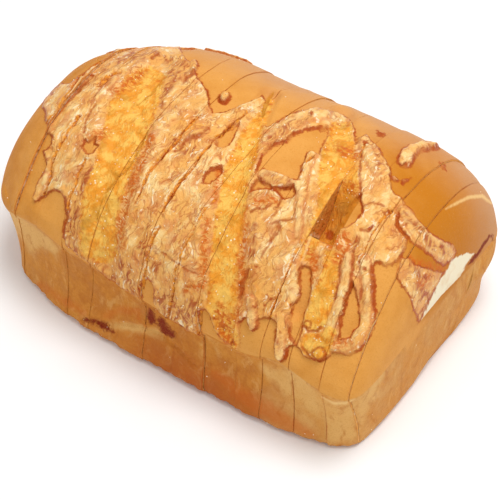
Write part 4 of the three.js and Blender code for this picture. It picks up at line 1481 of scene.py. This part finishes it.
class LOAF_OT_studio(bpy.types.Operator):
    """Put the loaf on a pale floor in soft light, with the camera at the photograph's angle"""

    bl_idname = "loaf.studio"
    bl_label = "Studio"

    def execute(self, context):
        scene = context.scene
        scene.view_settings.view_transform = "Standard"
        mesh = bpy.data.meshes.new("floor")
        corners = ((-1, -1), (1, -1), (1, 1), (-1, 1))
        points = [(x * FLOOR_REACH, y * FLOOR_REACH, 0) for x, y in corners]
        mesh.from_pydata(points, [], [(0, 1, 2, 3)])
        mesh.materials.append(floor_finish())
        floor = bpy.data.objects.new("floor", mesh)
        scene.collection.objects.link(floor)
        world = bpy.data.worlds.new("soft_light")
        scene.world = world
        world.use_nodes = True
        sky = world.node_tree.nodes["Background"].inputs
        sky["Color"].default_value = (1, 1, 1, 1)
        sky["Strength"].default_value = SKY_STRENGTH
        key = bpy.data.lights.new("key", "AREA")
        key.size = KEY_LIGHT["size"]
        key.energy = KEY_LIGHT["energy"]
        lamp = bpy.data.objects.new("key", key)
        lamp.location = KEY_LIGHT["at"]
        lamp.rotation_euler = Vector(lamp.location).to_track_quat("Z", "Y").to_euler()
        scene.collection.objects.link(lamp)
        view = bpy.data.cameras.new("photo_view")
        view.sensor_width = SENSOR
        view.lens = CAMERA_FOCUS * SENSOR / PHOTO_SIZE
        view.clip_start, view.clip_end = 0.05, 20
        camera = bpy.data.objects.new("photo_view", view)
        camera.location = [c * METRE for c in CAMERA_AT]
        camera.rotation_euler = [math.radians(a) for a in CAMERA_TURN]
        scene.collection.objects.link(camera)
        scene.camera = camera
        return {"FINISHED"}


class LOAF_PT_build(bpy.types.Panel):
    """The loaf's sizes, colours and pieces"""

    bl_idname = "LOAF_PT_build"
    bl_label = "Cheese loaf"
    bl_space_type = "VIEW_3D"
    bl_region_type = "UI"
    bl_category = "Loaf"

    def draw(self, context):
        for group in (context.scene.loaf_sizes, context.scene.loaf_colours):
            box = self.layout.box()
            for name in type(group).__annotations__:
                box.prop(group, name)
        for operator in OPERATORS:
            self.layout.operator(operator.bl_idname)


OPERATORS = (LOAF_OT_slices, LOAF_OT_crumbs, LOAF_OT_studio)
CLASSES = (LoafSizes, LoafColours, *OPERATORS, LOAF_PT_build)


def register():
    for cls in CLASSES:
        bpy.utils.register_class(cls)
    bpy.types.Scene.loaf_sizes = PointerProperty(type=LoafSizes)
    bpy.types.Scene.loaf_colours = PointerProperty(type=LoafColours)


def unregister():
    del bpy.types.Scene.loaf_sizes
    del bpy.types.Scene.loaf_colours
    for cls in reversed(CLASSES):
        bpy.utils.unregister_class(cls)


def main():
    register()
    bpy.ops.loaf.slices()
    bpy.ops.loaf.crumbs()
    bpy.ops.loaf.studio()


if __name__ == "__main__":
    main()
